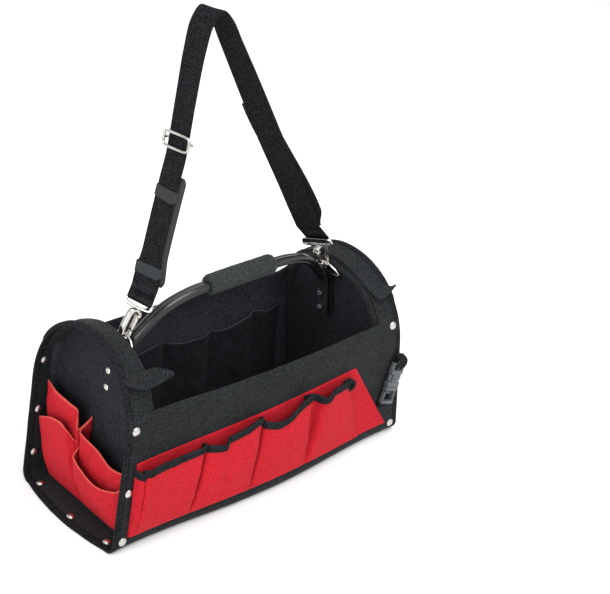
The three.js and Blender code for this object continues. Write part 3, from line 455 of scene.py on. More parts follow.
class Form:
    """A mesh in the making, in millimetres, with a cloth's own directions in its UV map."""

    def __init__(self) -> None:
        """Starts an empty mesh."""
        self.mesh = bmesh.new()
        self.uv = self.mesh.loops.layers.uv.new("UVMap")
        self.trim = self.mesh.verts.layers.float.new("trim")

    def grid(
        self,
        columns: int,
        rows: int,
        place: Place,
        size: Pair,
        trim: Callable[[float, float], float] | None = None,
    ) -> Form:
        """Adds a sheet.

        Args:
            columns: faces along it.
            rows: faces up it.
            place: the point for two shares, along and up.
            size: its flat width and height.
            trim: how much of the raw edge's colour shows at two shares.

        Returns:
            This form.
        """
        made = bmesh.ops.create_grid(self.mesh, x_segments=columns, y_segments=rows, size=0.5)["verts"]
        faces = {face for vert in made for face in vert.link_faces}
        for face in faces:
            for loop in face.loops:
                at = loop.vert.co
                loop[self.uv].uv = ((at.x + 0.5) * size[0] * MM, (at.y + 0.5) * size[1] * MM)
        for vert in made:
            u, v = vert.co.x + 0.5, vert.co.y + 0.5
            vert[self.trim] = trim(u, v) if trim else 0.0
            vert.co = place(u, v)
        return self

    def tube(
        self,
        line: Callable[[float], Frame],
        section: Callable[[float, float], Pair],
        sides: int,
        steps: int,
        size: Pair,
        ring: bool = False,
    ) -> Form:
        """Adds a swept bar.

        Args:
            line: the centre and the two directions of the section at a share of the length.
            section: the section's two coordinates at a share round it and a share of the length.
            sides: faces round it.
            steps: faces along it.
            size: its girth and its length.
            ring: whether it closes on itself.

        Returns:
            This form.
        """
        def place(u: float, v: float) -> Vector:
            """Returns a point of the bar's skin."""
            centre, first, second = line(v)
            a, b = section(u, v)
            return centre + a * first + b * second

        before = set(self.mesh.verts)
        self.grid(sides, steps, place, size)
        new = [v for v in self.mesh.verts if v not in before]
        bmesh.ops.remove_doubles(self.mesh, verts=new, dist=1e-4)
        if not ring:
            new = [v for v in self.mesh.verts if v not in before]
            edges = {e for v in new for e in v.link_edges if e.is_boundary}
            bmesh.ops.holes_fill(self.mesh, edges=list(edges), sides=0)
        return self

    def wire(
        self,
        outline: Callable[[float], Vector],
        flat: Vector,
        radius: float,
        size: Pair,
        stand: Matrix,
        sides: int = 14,
        steps: int = 96,
    ) -> Form:
        """Adds a ring of round wire.

        Args:
            outline: the point of its middle line at an angle.
            flat: the direction square to the ring.
            radius: the wire's radius.
            size: its girth and its length.
            stand: where the ring stands.
            sides: faces round the wire.
            steps: faces along it.

        Returns:
            This form.
        """
        turn = stand.to_3x3()
        step = 1e-3

        def line(v: float) -> Frame:
            """Returns the wire's centre and directions."""
            angle = math.tau * v
            along = (outline(angle + step) - outline(angle - step)).normalized()
            return stand @ outline(angle), turn @ flat, turn @ along.cross(flat)

        def section(u: float, v: float) -> Pair:
            """Returns the wire's section."""
            return radius * math.cos(math.tau * u), radius * math.sin(math.tau * u)

        return self.tube(line, section, sides, steps, size, ring=True)

    def lathe(self, profile: Sequence[Pair], stand: Matrix, steps: int = 24) -> Form:
        """Adds a turned piece.

        Args:
            profile: radius and height of its outline, from the axis round to the axis.
            stand: where its axis stands.
            steps: faces round it.

        Returns:
            This form.
        """
        verts = [self.mesh.verts.new((r, 0, h)) for r, h in profile]
        edges = [self.mesh.edges.new(pair) for pair in zip(verts, verts[1:])]
        bmesh.ops.spin(
            self.mesh,
            geom=[*verts, *edges],
            cent=(0, 0, 0),
            axis=(0, 0, 1),
            angle=math.tau,
            steps=steps,
            use_merge=True,
        )
        new = self._loose_from(verts[0])
        bmesh.ops.remove_doubles(self.mesh, verts=new, dist=1e-4)
        new = self._loose_from(next(v for v in new if v.is_valid))
        bmesh.ops.transform(self.mesh, matrix=stand, verts=new)
        return self

    @staticmethod
    def _loose_from(start: bmesh.types.BMVert) -> list[bmesh.types.BMVert]:
        """Returns every vertex joined to one by edges."""
        found, queue = {start}, [start]
        while queue:
            for edge in queue.pop().link_edges:
                for vert in edge.verts:
                    if vert not in found:
                        found.add(vert)
                        queue.append(vert)
        return list(found)

    def block(self, size: Vector, stand: Matrix, round_off: float, segments: int = 3) -> Form:
        """Adds a box with rounded edges.

        Args:
            size: its three sizes.
            stand: where its middle stands.
            round_off: how far its edges are rounded.
            segments: faces across each rounded edge.

        Returns:
            This form.
        """
        made = bmesh.ops.create_cube(self.mesh, size=1.0)["verts"]
        bmesh.ops.scale(self.mesh, vec=size, verts=made)
        edges = list({e for v in made for e in v.link_edges})
        bmesh.ops.transform(self.mesh, matrix=stand, verts=made)
        bmesh.ops.bevel(
            self.mesh,
            geom=edges,
            offset=round_off,
            offset_type="OFFSET",
            affect="EDGES",
            segments=segments,
            profile=0.5,
            material=-1,
        )
        return self

    def piece(
        self,
        name: str,
        paints: Paint | Sequence[Paint],
        nodes: Sequence[str] = (),
        cloth: Pair | None = None,
        slot: str = "",
        body: str = BODY,
        edge: float = 0.3,
    ) -> bpy.types.Object:
        """Makes the mesh a piece of the bag.

        Args:
            name: the piece's name.
            paints: its finish, or its finish with that of its cut edges and that of a sheet's other face.
            nodes: the solids that it stands for.
            cloth: the thickness of a sheet and the side that it grows to, from -1 to 1.
            slot: the record's material slot; not used.
            body: the body that it rides on.
            edge: how far a sheet's edges are rounded.

        Returns:
            The piece.
        """
        if cloth is None:
            bmesh.ops.recalc_face_normals(self.mesh, faces=self.mesh.faces[:])
        bmesh.ops.scale(self.mesh, vec=(MM, MM, MM), verts=self.mesh.verts[:])
        for face in self.mesh.faces:
            face.smooth = True
        data = bpy.data.meshes.new(name)
        self.mesh.to_mesh(data)
        self.mesh.free()
        obj = put(name, data)
        finishes = [paints] if isinstance(paints, Paint) else list(paints)
        for paint in finishes:
            data.materials.append(paint.material())
        if cloth is not None:
            self._thicken(obj, cloth, len(finishes), edge)
        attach(obj, body)
        if nodes:
            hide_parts(*nodes)
        log.info("%s: %d faces", name, len(data.polygons))
        return obj

    @staticmethod
    def _thicken(obj: bpy.types.Object, cloth: Pair, finishes: int, edge: float) -> None:
        """Gives a sheet its thickness and rounds its edges."""
        solid = obj.modifiers.new("thickness", "SOLIDIFY")
        solid.thickness = cloth[0] * MM
        solid.offset = cloth[1]
        solid.use_even_offset = False
        solid.material_offset_rim = min(finishes - 1, 1)
        solid.material_offset = 2 if finishes > 2 else 0
        bevel = obj.modifiers.new("edge", "BEVEL")
        bevel.width = edge * MM
        bevel.segments = 2
        bevel.limit_method = "ANGLE"
        bevel.angle_limit = math.radians(50)
        bevel.harden_normals = False


@dataclass(frozen=True)
class BagForm:
    """The form that the walls, ends and pockets share."""

    length: float = 460
    width: float = 188
    shoulder: float = 136
    arch: float = 240
    squareness: float = 2.12
    lean: float = 0.108
    front_top: float = 174
    back_top: float = 190
    corner: float = 14
    lip: float = 3
    front_bow: Triple = (12, 6, 34)
    back_bow: Triple = (7, 3, 174)
    bow_span: float = 192
    ledge_bow: float = 9
    wall: float = 2.4
    gap: float = 0.3
    end_inset: float = 31
    board: float = 3
    pocket_cloth: float = 1.4
    sag: float = 6

    @property
    def bottom_edge(self) -> float:
        """Half the width of the flat of the base."""
        return self.width / 2 - self.corner

    def half_width(self, z: float, inward: float = 0.0) -> float:
        """Returns half the bag's width at a height, taken in from its outer face."""
        rise = min(max((z - self.shoulder) / (self.arch - self.shoulder - inward), 0.0), 1.0)
        return (self.width / 2 - inward) * (1 - rise**self.squareness) ** (1 / self.squareness)

    def rim_x(self, z: float, inset: float = 0.0) -> float:
        """Returns how far the rim of an end stands from the middle at a height."""
        return self.length / 2 - inset - self.lean * z

    def bow(self, bow: Triple, x: float, z: float) -> float:
        """Returns how far a long wall bows out at a place."""
        swell = max(1 - (x / self.bow_span) ** 2, 0.0) ** 2
        return mix(bow[0], bow[1], min(z / bow[2], 1.0)) * swell

    def arch_point(self, angle: float, inward: float = 0.0) -> Pair:
        """Returns a place over the arch: 0 is the front shoulder and pi the back one."""
        exponent = 2 / self.squareness
        y = -(self.width / 2 - inward) * power(math.cos(angle), exponent)
        z = self.shoulder + (self.arch - self.shoulder - inward) * max(math.sin(angle), 0.0) ** exponent
        return y, z

    def arch_angle(self, z: float) -> float:
        """Returns the angle over the arch at a height."""
        return math.asin(((z - self.shoulder) / (self.arch - self.shoulder)) ** (self.squareness / 2))

    def settle(self, z: float, inset: float) -> float:
        """Returns how far the strip over an arch drops towards its inner edge."""
        return self.sag * min(inset / (self.end_inset + self.board), 1.0) * ease((z - 205) / 30)

    def on_front(self, x: float, z: float, out: float) -> Vector:
        """Returns a place at a distance out of the front wall."""
        return Vector((x, -(self.half_width(z) + self.bow(self.front_bow, x, z) + out), z))

    def in_back(self, x: float, z: float, out: float) -> Vector:
        """Returns a place at a distance into the bag from the back wall."""
        return Vector((x, self.half_width(z) - self.wall + self.bow(self.back_bow, x, z) - out, z))

    def on_end(self, way: int, y: float, z: float, out: float) -> Vector:
        """Returns a place at a distance out of an end board."""
        return Vector((way * (self.rim_x(z, self.end_inset) + out), y, z))


FORM = BagForm()
SIDES = (("left", -1), ("right", 1))


def stand_on(point: Vector, normal: Vector) -> Matrix:
    """Returns the place of a turned piece on a face."""
    return Matrix.Translation(point) @ normal.to_track_quat("Z", "Y").to_matrix().to_4x4()


def stitch_row(
    form: Form,
    path: Sequence[Vector],
    out: Sequence[Vector],
    pitch: float = 4.2,
    thick: float = 0.45,
) -> None:
    """Adds a row of stitches.

    Args:
        form: the mesh that takes them.
        path: points along the seam.
        out: the direction out of the cloth at each point.
        pitch: the distance from stitch to stitch.
        thick: the radius of the thread.
    """
    track = Track(path)
    count = max(int(track.length / pitch), 1)
    for i in range(count):
        share = (i + 0.5) / count
        where = min(int(share * (len(path) - 1)), len(path) - 2)
        up = out[where].lerp(out[where + 1], 0.5).normalized()
        along = track.tangent(share)
        side = along.cross(up).normalized()
        up = side.cross(along).normalized()
        turn = Matrix((along, side, up)).transposed().to_4x4()
        stand = Matrix.Translation(track.at(share) + up * thick * 0.25) @ turn
        made = bmesh.ops.create_icosphere(form.mesh, subdivisions=1, radius=1.0)["verts"]
        bmesh.ops.scale(form.mesh, vec=(pitch * 0.4, thick, thick), verts=made)
        bmesh.ops.transform(form.mesh, matrix=stand, verts=made)


@dataclass
class Shell:
    """The base, the long walls, the arched ends and the strips over them."""

    columns: int = 110
    rows: int = 64
    hem: float = 17
    hem_cloth: float = 0.9
    hem_stand: float = 0.35
    hem_seam: float = 0.018
    slack: float = 1.6
    dip: Triple = (6.5, 150, 24)
    rim_tuck: float = 9
    band: float = 14
    band_cloth: float = 1.0
    band_swell: float = 3.4
    tape: float = 9
    tape_depths: Pair = (1.75, 3.0)
    layer_rise: float = 12

    def section(self, top: float) -> Track:
        """Returns half widths and heights of the middle of a wall's cloth, from the edge of the base to its top."""
        middle = FORM.wall / 2
        radius = FORM.corner - middle
        points = [Vector((0, FORM.bottom_edge - FORM.lip, middle))]
        for t in shares(10):
            angle = (t - 1) * math.pi / 2
            y = FORM.bottom_edge + radius * math.cos(angle)
            points.append(Vector((0, y, FORM.corner + radius * math.sin(angle))))
        for t in shares(40)[1:]:
            z = mix(FORM.corner, top, t)
            points.append(Vector((0, FORM.half_width(z, middle), z)))
        return Track(points)

    def wall_point(
        self,
        way: int,
        bow: Triple,
        track: Track,
        u: float,
        v: float,
        out: float = 0.0,
    ) -> Vector:
        """Returns a place on a long wall's cloth.

        Args:
            way: -1 for the front wall, 1 for the back one.
            bow: how the wall bows out.
            track: the wall's section.
            u: the share along the wall.
            v: the share from its foot to its top.
            out: a distance out of the middle of the cloth.

        Returns:
            The place.
        """
        at = track.at(v)
        x = (2 * u - 1) * FORM.rim_x(at.z)
        loose = ease(v * 6) * ease((1 - abs(2 * u - 1)) * 8)
        ripple = crumple(x / 55, at.z / 42, way * 7.0) * 0.9 + crumple(x / 21, at.z / 30, way * 3.0) * 0.25
        dip = self.dip[0] * math.exp(-(((x - self.dip[1]) / self.dip[2]) ** 2)) if way > 0 else 0.0
        sag = (self.slack * math.sin(math.pi * u) + dip) * ease((v - 0.75) * 4)
        return Vector((x, way * (at.y + FORM.bow(bow, x, at.z) + ripple * loose + out), at.z - sag))

    def wall(self, name: str, way: int, top: float, bow: Triple) -> None:
        """Builds a long wall and the folded hem along its top."""
        track = self.section(top)
        size = (FORM.length, track.length)
        form = Form().grid(self.columns, self.rows, lambda u, v: self.wall_point(way, bow, track, u, v), size)
        # The inner face takes the lighter inside finish, which is painted light.
        first, last = (Paint.BLACK, Paint.INSIDE) if way < 0 else (Paint.INSIDE, Paint.BLACK)
        paints = (first, Paint.BLACK, last)
        piece = form.piece(f"{name}_cloth", paints, [name], (FORM.wall, 0), "black_canvas", edge=0.8)
        start = 1 - self.hem / track.length
        face = FORM.wall / 2 + self.hem_stand

        def over(u: float, v: float) -> Vector:
            """Returns a place on the hem, which is folded to the outside."""
            roll = 0.6 * (1 - math.sin(math.pi * min(v * 1.1, 1)) ** 0.3)
            return self.wall_point(way, bow, track, mix(0.002, 0.998, u), mix(start, 1.0, v), face - roll * 0.5)

        hem = Form().grid(self.columns, 8, over, (FORM.length, self.hem))
        made = hem.piece(f"{name}_hem", Paint.BLACK, (), (self.hem_cloth, 0), "black_canvas", edge=0.35)
        seam = start + self.hem_seam
        path = [self.wall_point(way, bow, track, mix(0.01, 0.99, u), seam, face + 0.5) for u in shares(160)]
        thread = Form()
        stitch_row(thread, path, [Vector((0, way, 0.1))] * len(path))
        thread.piece(f"{name}_stitches", Paint.THREAD)

    def base(self) -> None:
        """Builds the stiff floor."""
        def place(u: float, v: float) -> Vector:
            """Returns a place on the middle of the floor."""
            across = 2 * v - 1
            x = (2 * u - 1) * (FORM.length / 2 + FORM.ledge_bow * (1 - across * across))
            bow = FORM.front_bow if across < 0 else FORM.back_bow
            edge = FORM.bottom_edge - FORM.lip - FORM.gap + FORM.bow(bow, x, 0)
            return Vector((x, across * edge, FORM.wall / 2))

        width = 2 * (FORM.bottom_edge - FORM.lip)
        form = Form().grid(90, 30, place, (FORM.length + FORM.ledge_bow, width))
        piece = form.piece("base_cloth", Paint.BLACK, ["base_panel"], (FORM.wall, 0), "black_canvas", edge=0.7)

    def end(self, side: str, way: int) -> None:
        """Builds an end board, the strip over it and the strip's loose outer layer."""
        inward = FORM.wall + 0.8
        half = FORM.width / 2 - inward
        radius = FORM.corner - inward

        def place(u: float, v: float) -> Vector:
            """Returns a place on the inner face of the board."""
            y = half * math.sin(math.pi / 2 * (2 * u - 1)) * -way
            low = inward
            past = abs(y) - FORM.bottom_edge
            if past > 0:
                low = FORM.corner - math.sqrt(max(radius**2 - past**2, 0.0))
            rise = (1 - min(abs(y) / half, 1.0) ** FORM.squareness) ** (1 / FORM.squareness)
            high = FORM.shoulder + (FORM.arch - FORM.shoulder - inward) * rise
            z = mix(low, high - FORM.settle(high, FORM.end_inset), v)
            loose = ease(v * 5) * ease((1 - v) * 5) * ease((1 - abs(2 * u - 1)) * 5)
            swell = 0.7 * crumple(y / 60, z / 60, 5.0 + way) * loose
            return FORM.on_end(way, y, z, -FORM.board / 2 + swell)

        form = Form().grid(60, 60, place, (FORM.width, FORM.arch))
        name = f"end_panel_{side}"
        form.piece(f"{name}_cloth", Paint.LINING, [name], (FORM.board, 0), "black_canvas", edge=0.7)
        self.rim(side, way)
        self.inner_band(side, way)
        (Hood.LEFT if way < 0 else Hood.RIGHT).build(side, way)
        self.binding(side, way)

    def rim(self, side: str, way: int) -> None:
        """Builds the strip over an arch that joins the two walls, its ends tucked behind them."""
        start = FORM.arch_angle(FORM.front_top - self.rim_tuck)
        end = math.pi - FORM.arch_angle(FORM.back_top - self.rim_tuck)
        width = FORM.end_inset + FORM.board

        def place(u: float, v: float) -> Vector:
            """Returns a place on the outer face of the strip."""
            tuck = 0.7 * (1 - ease(min(v, 1 - v) * 24))
            y, z = FORM.arch_point(mix(start, end, v), tuck)
            inset = width * (u if way < 0 else 1 - u)
            return Vector((way * FORM.rim_x(z, inset), y, z - FORM.settle(z, inset)))

        form = Form().grid(14, 80, place, (width, 262))
        name = f"end_rim_{side}"
        piece = form.piece(f"{name}_cloth", Paint.BLACK, [name], (FORM.wall, -1), "black_canvas", edge=0.7)

    def inner_band(self, side: str, way: int) -> None:
        """Builds the turned-down edge of that strip on the inner face of the board."""
        start = FORM.arch_angle(FORM.front_top - 20)
        end = math.pi - FORM.arch_angle(FORM.back_top - 30)
        inset = FORM.end_inset + FORM.board

        def place(u: float, v: float) -> Vector:
            """Returns a place on the middle of the band."""
            across = u if way < 0 else 1 - u
            y, z = FORM.arch_point(mix(start, end, v), mix(2.0, self.band, across))
            swell = 0.9 + self.band_swell * math.sin(math.pi * u) ** 0.8
            return Vector((way * (FORM.rim_x(z, inset) - swell), y, z - FORM.settle(z, inset)))

        form = Form().grid(10, 90, place, (self.band, 260))
        piece = form.piece(f"end_rim_{side}_band", Paint.BLACK, (), (self.band_cloth, 0), "black_canvas", edge=0.4)

    def loop(self, way: int) -> tuple[list[Vector], list[Vector]]:
        """Returns the edge of an end's opening, all the way round, and the direction out of the bag along it."""
        points: list[Vector] = []
        outs: list[Vector] = []
        middle = FORM.wall / 2

        def step(inset: float, y: float, z: float, out: Pair) -> None:
            """Adds a point of the loop."""
            points.append(Vector((way * (FORM.length / 2 - FORM.lean * z + inset), y, z)))
            outs.append(Vector((0, *out)).normalized())

        flat = FORM.bottom_edge
        for t in shares(24)[:-1]:
            y = mix(flat, -flat, t)
            step(FORM.ledge_bow * (1 - (y / flat) ** 2), y, middle + 0.5, (0, -1))
        radius = FORM.corner - middle
        for t in shares(8)[:-1]:
            angle = math.pi / 2 * t
            y, z = -flat - radius * math.sin(angle), FORM.corner - radius * math.cos(angle)
            step(0, y, z, (-math.sin(angle), -math.cos(angle)))
        for t in shares(14)[:-1]:
            step(0, -FORM.width / 2 + middle, mix(FORM.corner, FORM.shoulder, t), (-1, 0))
        for t in shares(60)[:-1]:
            y, z = FORM.arch_point(math.pi * t, middle)
            ahead, behind = FORM.arch_point(math.pi * t + 0.01), FORM.arch_point(max(math.pi * t - 0.01, 0))
            cover = 1.2 * ease((z - FORM.back_top) / self.layer_rise)
            out = Vector((0, -(ahead[1] - behind[1]), ahead[0] - behind[0])).normalized()
            step(0, y + out.y * cover, z + out.z * cover, (out.y, out.z))
        for t in shares(14)[:-1]:
            step(0, FORM.width / 2 - middle, mix(FORM.shoulder, FORM.corner, t), (1, 0))
        for t in shares(8)[:-1]:
            angle = math.pi / 2 * (1 - t)
            y, z = flat + radius * math.sin(angle), FORM.corner - radius * math.cos(angle)
            step(0, y, z, (math.sin(angle), -math.cos(angle)))
        return [*points, points[0].copy()], [*outs, outs[0].copy()]

    def binding(self, side: str, way: int) -> None:
        """Builds the tape folded over the edge of an end's opening."""
        points, outs = self.loop(way)
        edge, away = Track(points), Track(outs)
        inward = Vector((-way, 0, 0))

        def line(v: float) -> Frame:
            """Returns the middle of the tape and its directions."""
            return edge.paced(v) + inward * (self.tape / 2 - 1.0), inward, away.paced(v).normalized()

        def section(u: float, v: float) -> Pair:
            """Returns the tape's section, thicker where it wraps two layers and a little uneven."""
            angle = math.tau * u
            at = edge.paced(v)
            layers = ease((at.z - FORM.back_top) / self.layer_rise)
            thick = mix(*self.tape_depths, layers)
            wave = 0.5 * crumple(at.y / 25, at.z / 25, 9.0 + way)
            return (self.tape / 2 + wave) * power(math.cos(angle), 0.35), thick * power(math.sin(angle), 0.45)

        form = Form().tube(line, section, 20, 260, (26, 780), ring=True)
        form.piece(f"end_binding_{side}", Paint.TAPE, (), slot="black_webbing")


@dataclass(frozen=True)
class HoodShape:
    """The loose front end of an outer strip: where it leaves the arch, and its two edges from there to its tip."""

    root: float
    outer: tuple[Triple, ...]
    inner: tuple[Triple, ...]
    cloth: float = 2.0
    seams: Pair = (0.36, 0.93)


class Hood(Enum):
    """The two outer strips."""

    LEFT = HoodShape(
        213,
        ((-203, -75, 207.5), (-194, -84, 205), (-184, -90, 206), (-174, -96, 212), (-162.5, -101, 219.5)),
        ((-173, -70, 213.5), (-169, -76, 219), (-166, -84, 222), (-162, -92, 223.5), (-159, -98.5, 223)),
    )
    RIGHT = HoodShape(
        222,
        ((206, -68.5, 213), (206.5, -76, 214.5), (206.7, -82.5, 220.5)),
        ((174, -68.5, 213), (176, -77, 208.5), (178.5, -85, 208)),
    )

    def build(self, side: str, way: int) -> None:
        """Builds the strip."""
        shape = self.value
        start = FORM.arch_angle(shape.root)
        end = math.pi - FORM.arch_angle(FORM.back_top + 4)
        width = FORM.end_inset + FORM.board - 1
        outer = [Vector(at) for at in reversed(shape.outer)]
        inner = [Vector(at) for at in reversed(shape.inner)]
        tips = len(outer)
        for t in shares(36):
            y, z = FORM.arch_point(mix(start, end, t), -FORM.gap)
            outer.append(Vector((way * FORM.rim_x(z), y, z)))
            inner.append(Vector((way * FORM.rim_x(z, width), y, z - FORM.settle(z, width))))
        first, second = Track(outer, True), Track(inner, True)
        tab = tips / (len(outer) - 1)
        if way > 0:
            first, second = second, first

        def place(u: float, v: float) -> Vector:
            """Returns a place on the inner face of the strip."""
            loose = max(1 - v / tab, 0.0)
            belly = Vector((0, -1.6, -1.2)) * loose * math.sin(math.pi * u)
            lift = Vector((0, 0, 0.3 * (1 + crumple(u * 3, v * 22, 3.0 + way)) * ease((v - tab) * 8)))
            return first.paced(v).lerp(second.paced(v), u) + belly + lift

        length = (first.length + second.length) / 2
        form = Form().grid(20, 130, place, (width, length))
        name = f"hood_{side}"
        piece = form.piece(f"{name}_cloth", Paint.BLACK, [name], (shape.cloth, 1), "black_canvas", edge=0.6)
        thread = Form()
        for inset in shape.seams:
            path = [place(inset if way < 0 else 1 - inset, mix(tab + 0.02, 0.97, t)) for t in shares(90)]
            out = [Vector((0, p.y, p.z - FORM.shoulder)).normalized() for p in path]
            stitch_row(thread, [p + o * (shape.cloth + 0.05) for p, o in zip(path, out)], out)
        thread.piece(f"{name}_stitches", Paint.THREAD)


@dataclass(frozen=True)
class Fold:
    """A fold in a row of pockets: its place at the foot and the mouth, the mouth's height and how far it stands out."""

    foot: float
    top: float
    mouth: float
    out: float


def folds(*rows: tuple[float, float, float, float]) -> tuple[Fold, ...]:
    """Returns folds from rows of foot, top, mouth and out."""
    return tuple(Fold(*row) for row in rows)


@dataclass(frozen=True)
class PocketRow:
    """A row of pockets sewn from one pleated strip."""

    name: str
    table: tuple[Fold, ...]
    foot: float
    lift: float
    seed: float
    swell: float = 0.7

    def spread(self, u: float) -> Fold:
        """Returns the fold at a share along the row: seams stay sharp and swells are round."""
        last = len(self.table) - 1
        place = min(max(u, 0.0), 1.0) * last
        i = min(int(place), last - 1)
        t = place - i
        a, b = self.table[i], self.table[i + 1]
        reach = self.reach(a, b)
        mouth = curve(a.mouth, b.mouth, (self.rises[i] * reach, self.rises[i + 1] * reach), t)
        return Fold(mix(a.foot, b.foot, t), mix(a.top, b.top, t), mouth, self._rounded(i, t))

    @staticmethod
    def reach(a: Fold, b: Fold) -> float:
        """Returns how far apart two folds are at the mouth."""
        return max(abs(b.top - a.top), 0.5)

    @cached_property
    def rises(self) -> list[float]:
        """How steeply the edge of the mouth rises at each fold: it is level at its high and low points."""
        steps = [(b.mouth - a.mouth) / self.reach(a, b) for a, b in zip(self.table, self.table[1:])]
        met = [2 * a * b / (a + b) if a * b > 0 else 0.0 for a, b in zip(steps, steps[1:])]
        return [steps[0], *met, steps[-1]]

    def _rounded(self, i: int, t: float) -> float:
        """Returns how far the cloth stands out between two folds."""
        outs = [fold.out for fold in self.table]

        def slope(k: int, ahead: bool) -> float:
            """Returns the slope at a fold, seen from before or after it."""
            before = outs[k] - outs[max(k - 1, 0)]
            after = outs[min(k + 1, len(outs) - 1)] - outs[k]
            if before <= 0 <= after:
                return after if ahead else before
            return 0.0 if before * after < 0 else (before + after) / 2

        return curve(outs[i], outs[i + 1], (slope(i, True), slope(i + 1, False)), t)

    def off(self, carrier: Callable[[float, float, float], Vector], u: float, v: float, out: float) -> Vector:
        """Returns a place at a distance off the strip's inner face, measured square to it."""
        along = self.point(carrier, min(u + 0.003, 1), v) - self.point(carrier, max(u - 0.003, 0), v)
        return self.point(carrier, u, v) + Vector((along.y, -along.x, 0)).normalized() * out

    def point(self, carrier: Callable[[float, float, float], Vector], u: float, v: float, out: float = 0.0) -> Vector:
        """Returns a place on the inner face of the strip.

        Args:
            carrier: the place for a distance along, a height and a distance out of what carries the row.
            u: the share along the row.
            v: the share from foot to mouth.
            out: a further distance out.

        Returns:
            The place.
        """
        fold = self.spread(u)
        along = mix(fold.foot, fold.top, v)
        z = mix(self.foot, fold.mouth, v)
        full = min(fold.out / 10, 1.0)
        slant = along + 0.45 * z
        crease = crumple(slant / 19, z / 40, self.seed) * 1.9 + crumple(slant / 8, z / 18, self.seed + 4) * 0.55
        belly = 1.4 * full * math.sin(math.pi * v) ** 2
        stand = fold.out * v**self.swell + belly + crease * full * ease(v * 4) * ease((1 - v) * 6 + 0.3)
        return carrier(along, z, self.lift + max(stand, 0.0) + out)


FRONT_ROW = PocketRow(
    "front_pockets",
    folds(
        (-209, -203, 110, 0), (-207.5, -200.5, 109, 7), (-205.5, -197.5, 108, 10), (-203.8, -195.3, 109, 4.5),
        (-202, -192.5, 113, 14.5), (-196, -184, 115, 14.5), (-168, -162, 116, 14), (-140, -124, 116.5, 13.5),
        (-131, -117, 117, 12), (-126, -111, 112, 0.5), (-124, -109, 114, 11.5), (-104, -96, 111, 14.5),
        (-90, -87.5, 110, 15), (-87, -84.5, 117, 13), (-62, -60, 121, 13.5), (-47, -44, 125, 13), (-42, -35, 126, 11),
        (-36.7, -28.5, 118, 0.5), (-34.7, -26.5, 117, 11.5), (-8, -4, 111.5, 14.5), (15, 12, 117, 15),
        (36, 28, 127, 14.5), (46, 39, 130, 14), (50.2, 43.6, 127, 9.5), (50.6, 43.4, 123, 0.5), (51.6, 54, 121, 0.5),
        (53.6, 62, 119, 3), (57, 68, 117.5, 13), (64, 74, 118.5, 15), (79, 83, 123.5, 13), (112, 100, 122, 9.5),
        (137, 116, 118, 5), (145, 124, 115, 0.5), (151, 128, 114, 0),
    ),
    21, 2.0, 11.0, 0.5,
)
TALL_ROW = PocketRow(
    "end_pockets_tall",
    folds(
        (-78, -86, 96, 11), (-70, -76, 94, 16), (-58, -58, 93, 19), (-30, -30, 102, 20), (-8, -8, 104, 19.5),
        (5, 6, 106, 19), (8.5, 9, 108, 14.5), (9.5, 8.5, 115, 5), (10.3, 9.5, 118, 1.5), (11.2, 11.5, 113, 7),
        (12, 13.5, 106, 16), (12.6, 14.3, 107, 18.5), (13.2, 15, 129, 18.5), (18, 19, 132, 19.5), (35, 36, 132.5, 20),
        (60, 60, 133, 19), (78, 86, 133, 13),
    ),
    3.4, 0.3, 23.0,
)
LOW_ROW = PocketRow(
    "end_pockets_low",
    folds(
        (-77, -87, 85, 18), (-69, -74, 73, 23), (-42, -42, 65, 26), (-15, -15, 70, 26), (3, 5, 77, 24), (8, 10, 80, 15),
        (9.5, 12, 82, 9), (11, 14, 84, 10), (12.5, 17.5, 92, 18), (15.5, 23, 103, 25), (26, 31, 108, 26.5),
        (50, 50, 105.5, 26), (62, 62, 100, 24), (77, 87, 86, 18),
    ),
    3.4, 2.0, 31.0,
)
INNER_ROW = PocketRow(
    "inner_pockets",
    folds(
        (-172, -168, 126, 0), (-150, -148, 124, 9), (-112, -110, 125, 9), (-96, -96, 127, 0), (-80, -80, 126, 9),
        (-40, -40, 130, 9), (-23, -23, 124, 0), (-6, -6, 121, 9), (36, 36, 118, 9), (53, 53, 117, 0), (70, 70, 119, 9),
        (110, 110, 127, 9), (126, 126, 128, 0), (142, 140, 127, 8), (172, 168, 125, 0),
    ),
    14, 0.3, 43.0,
)


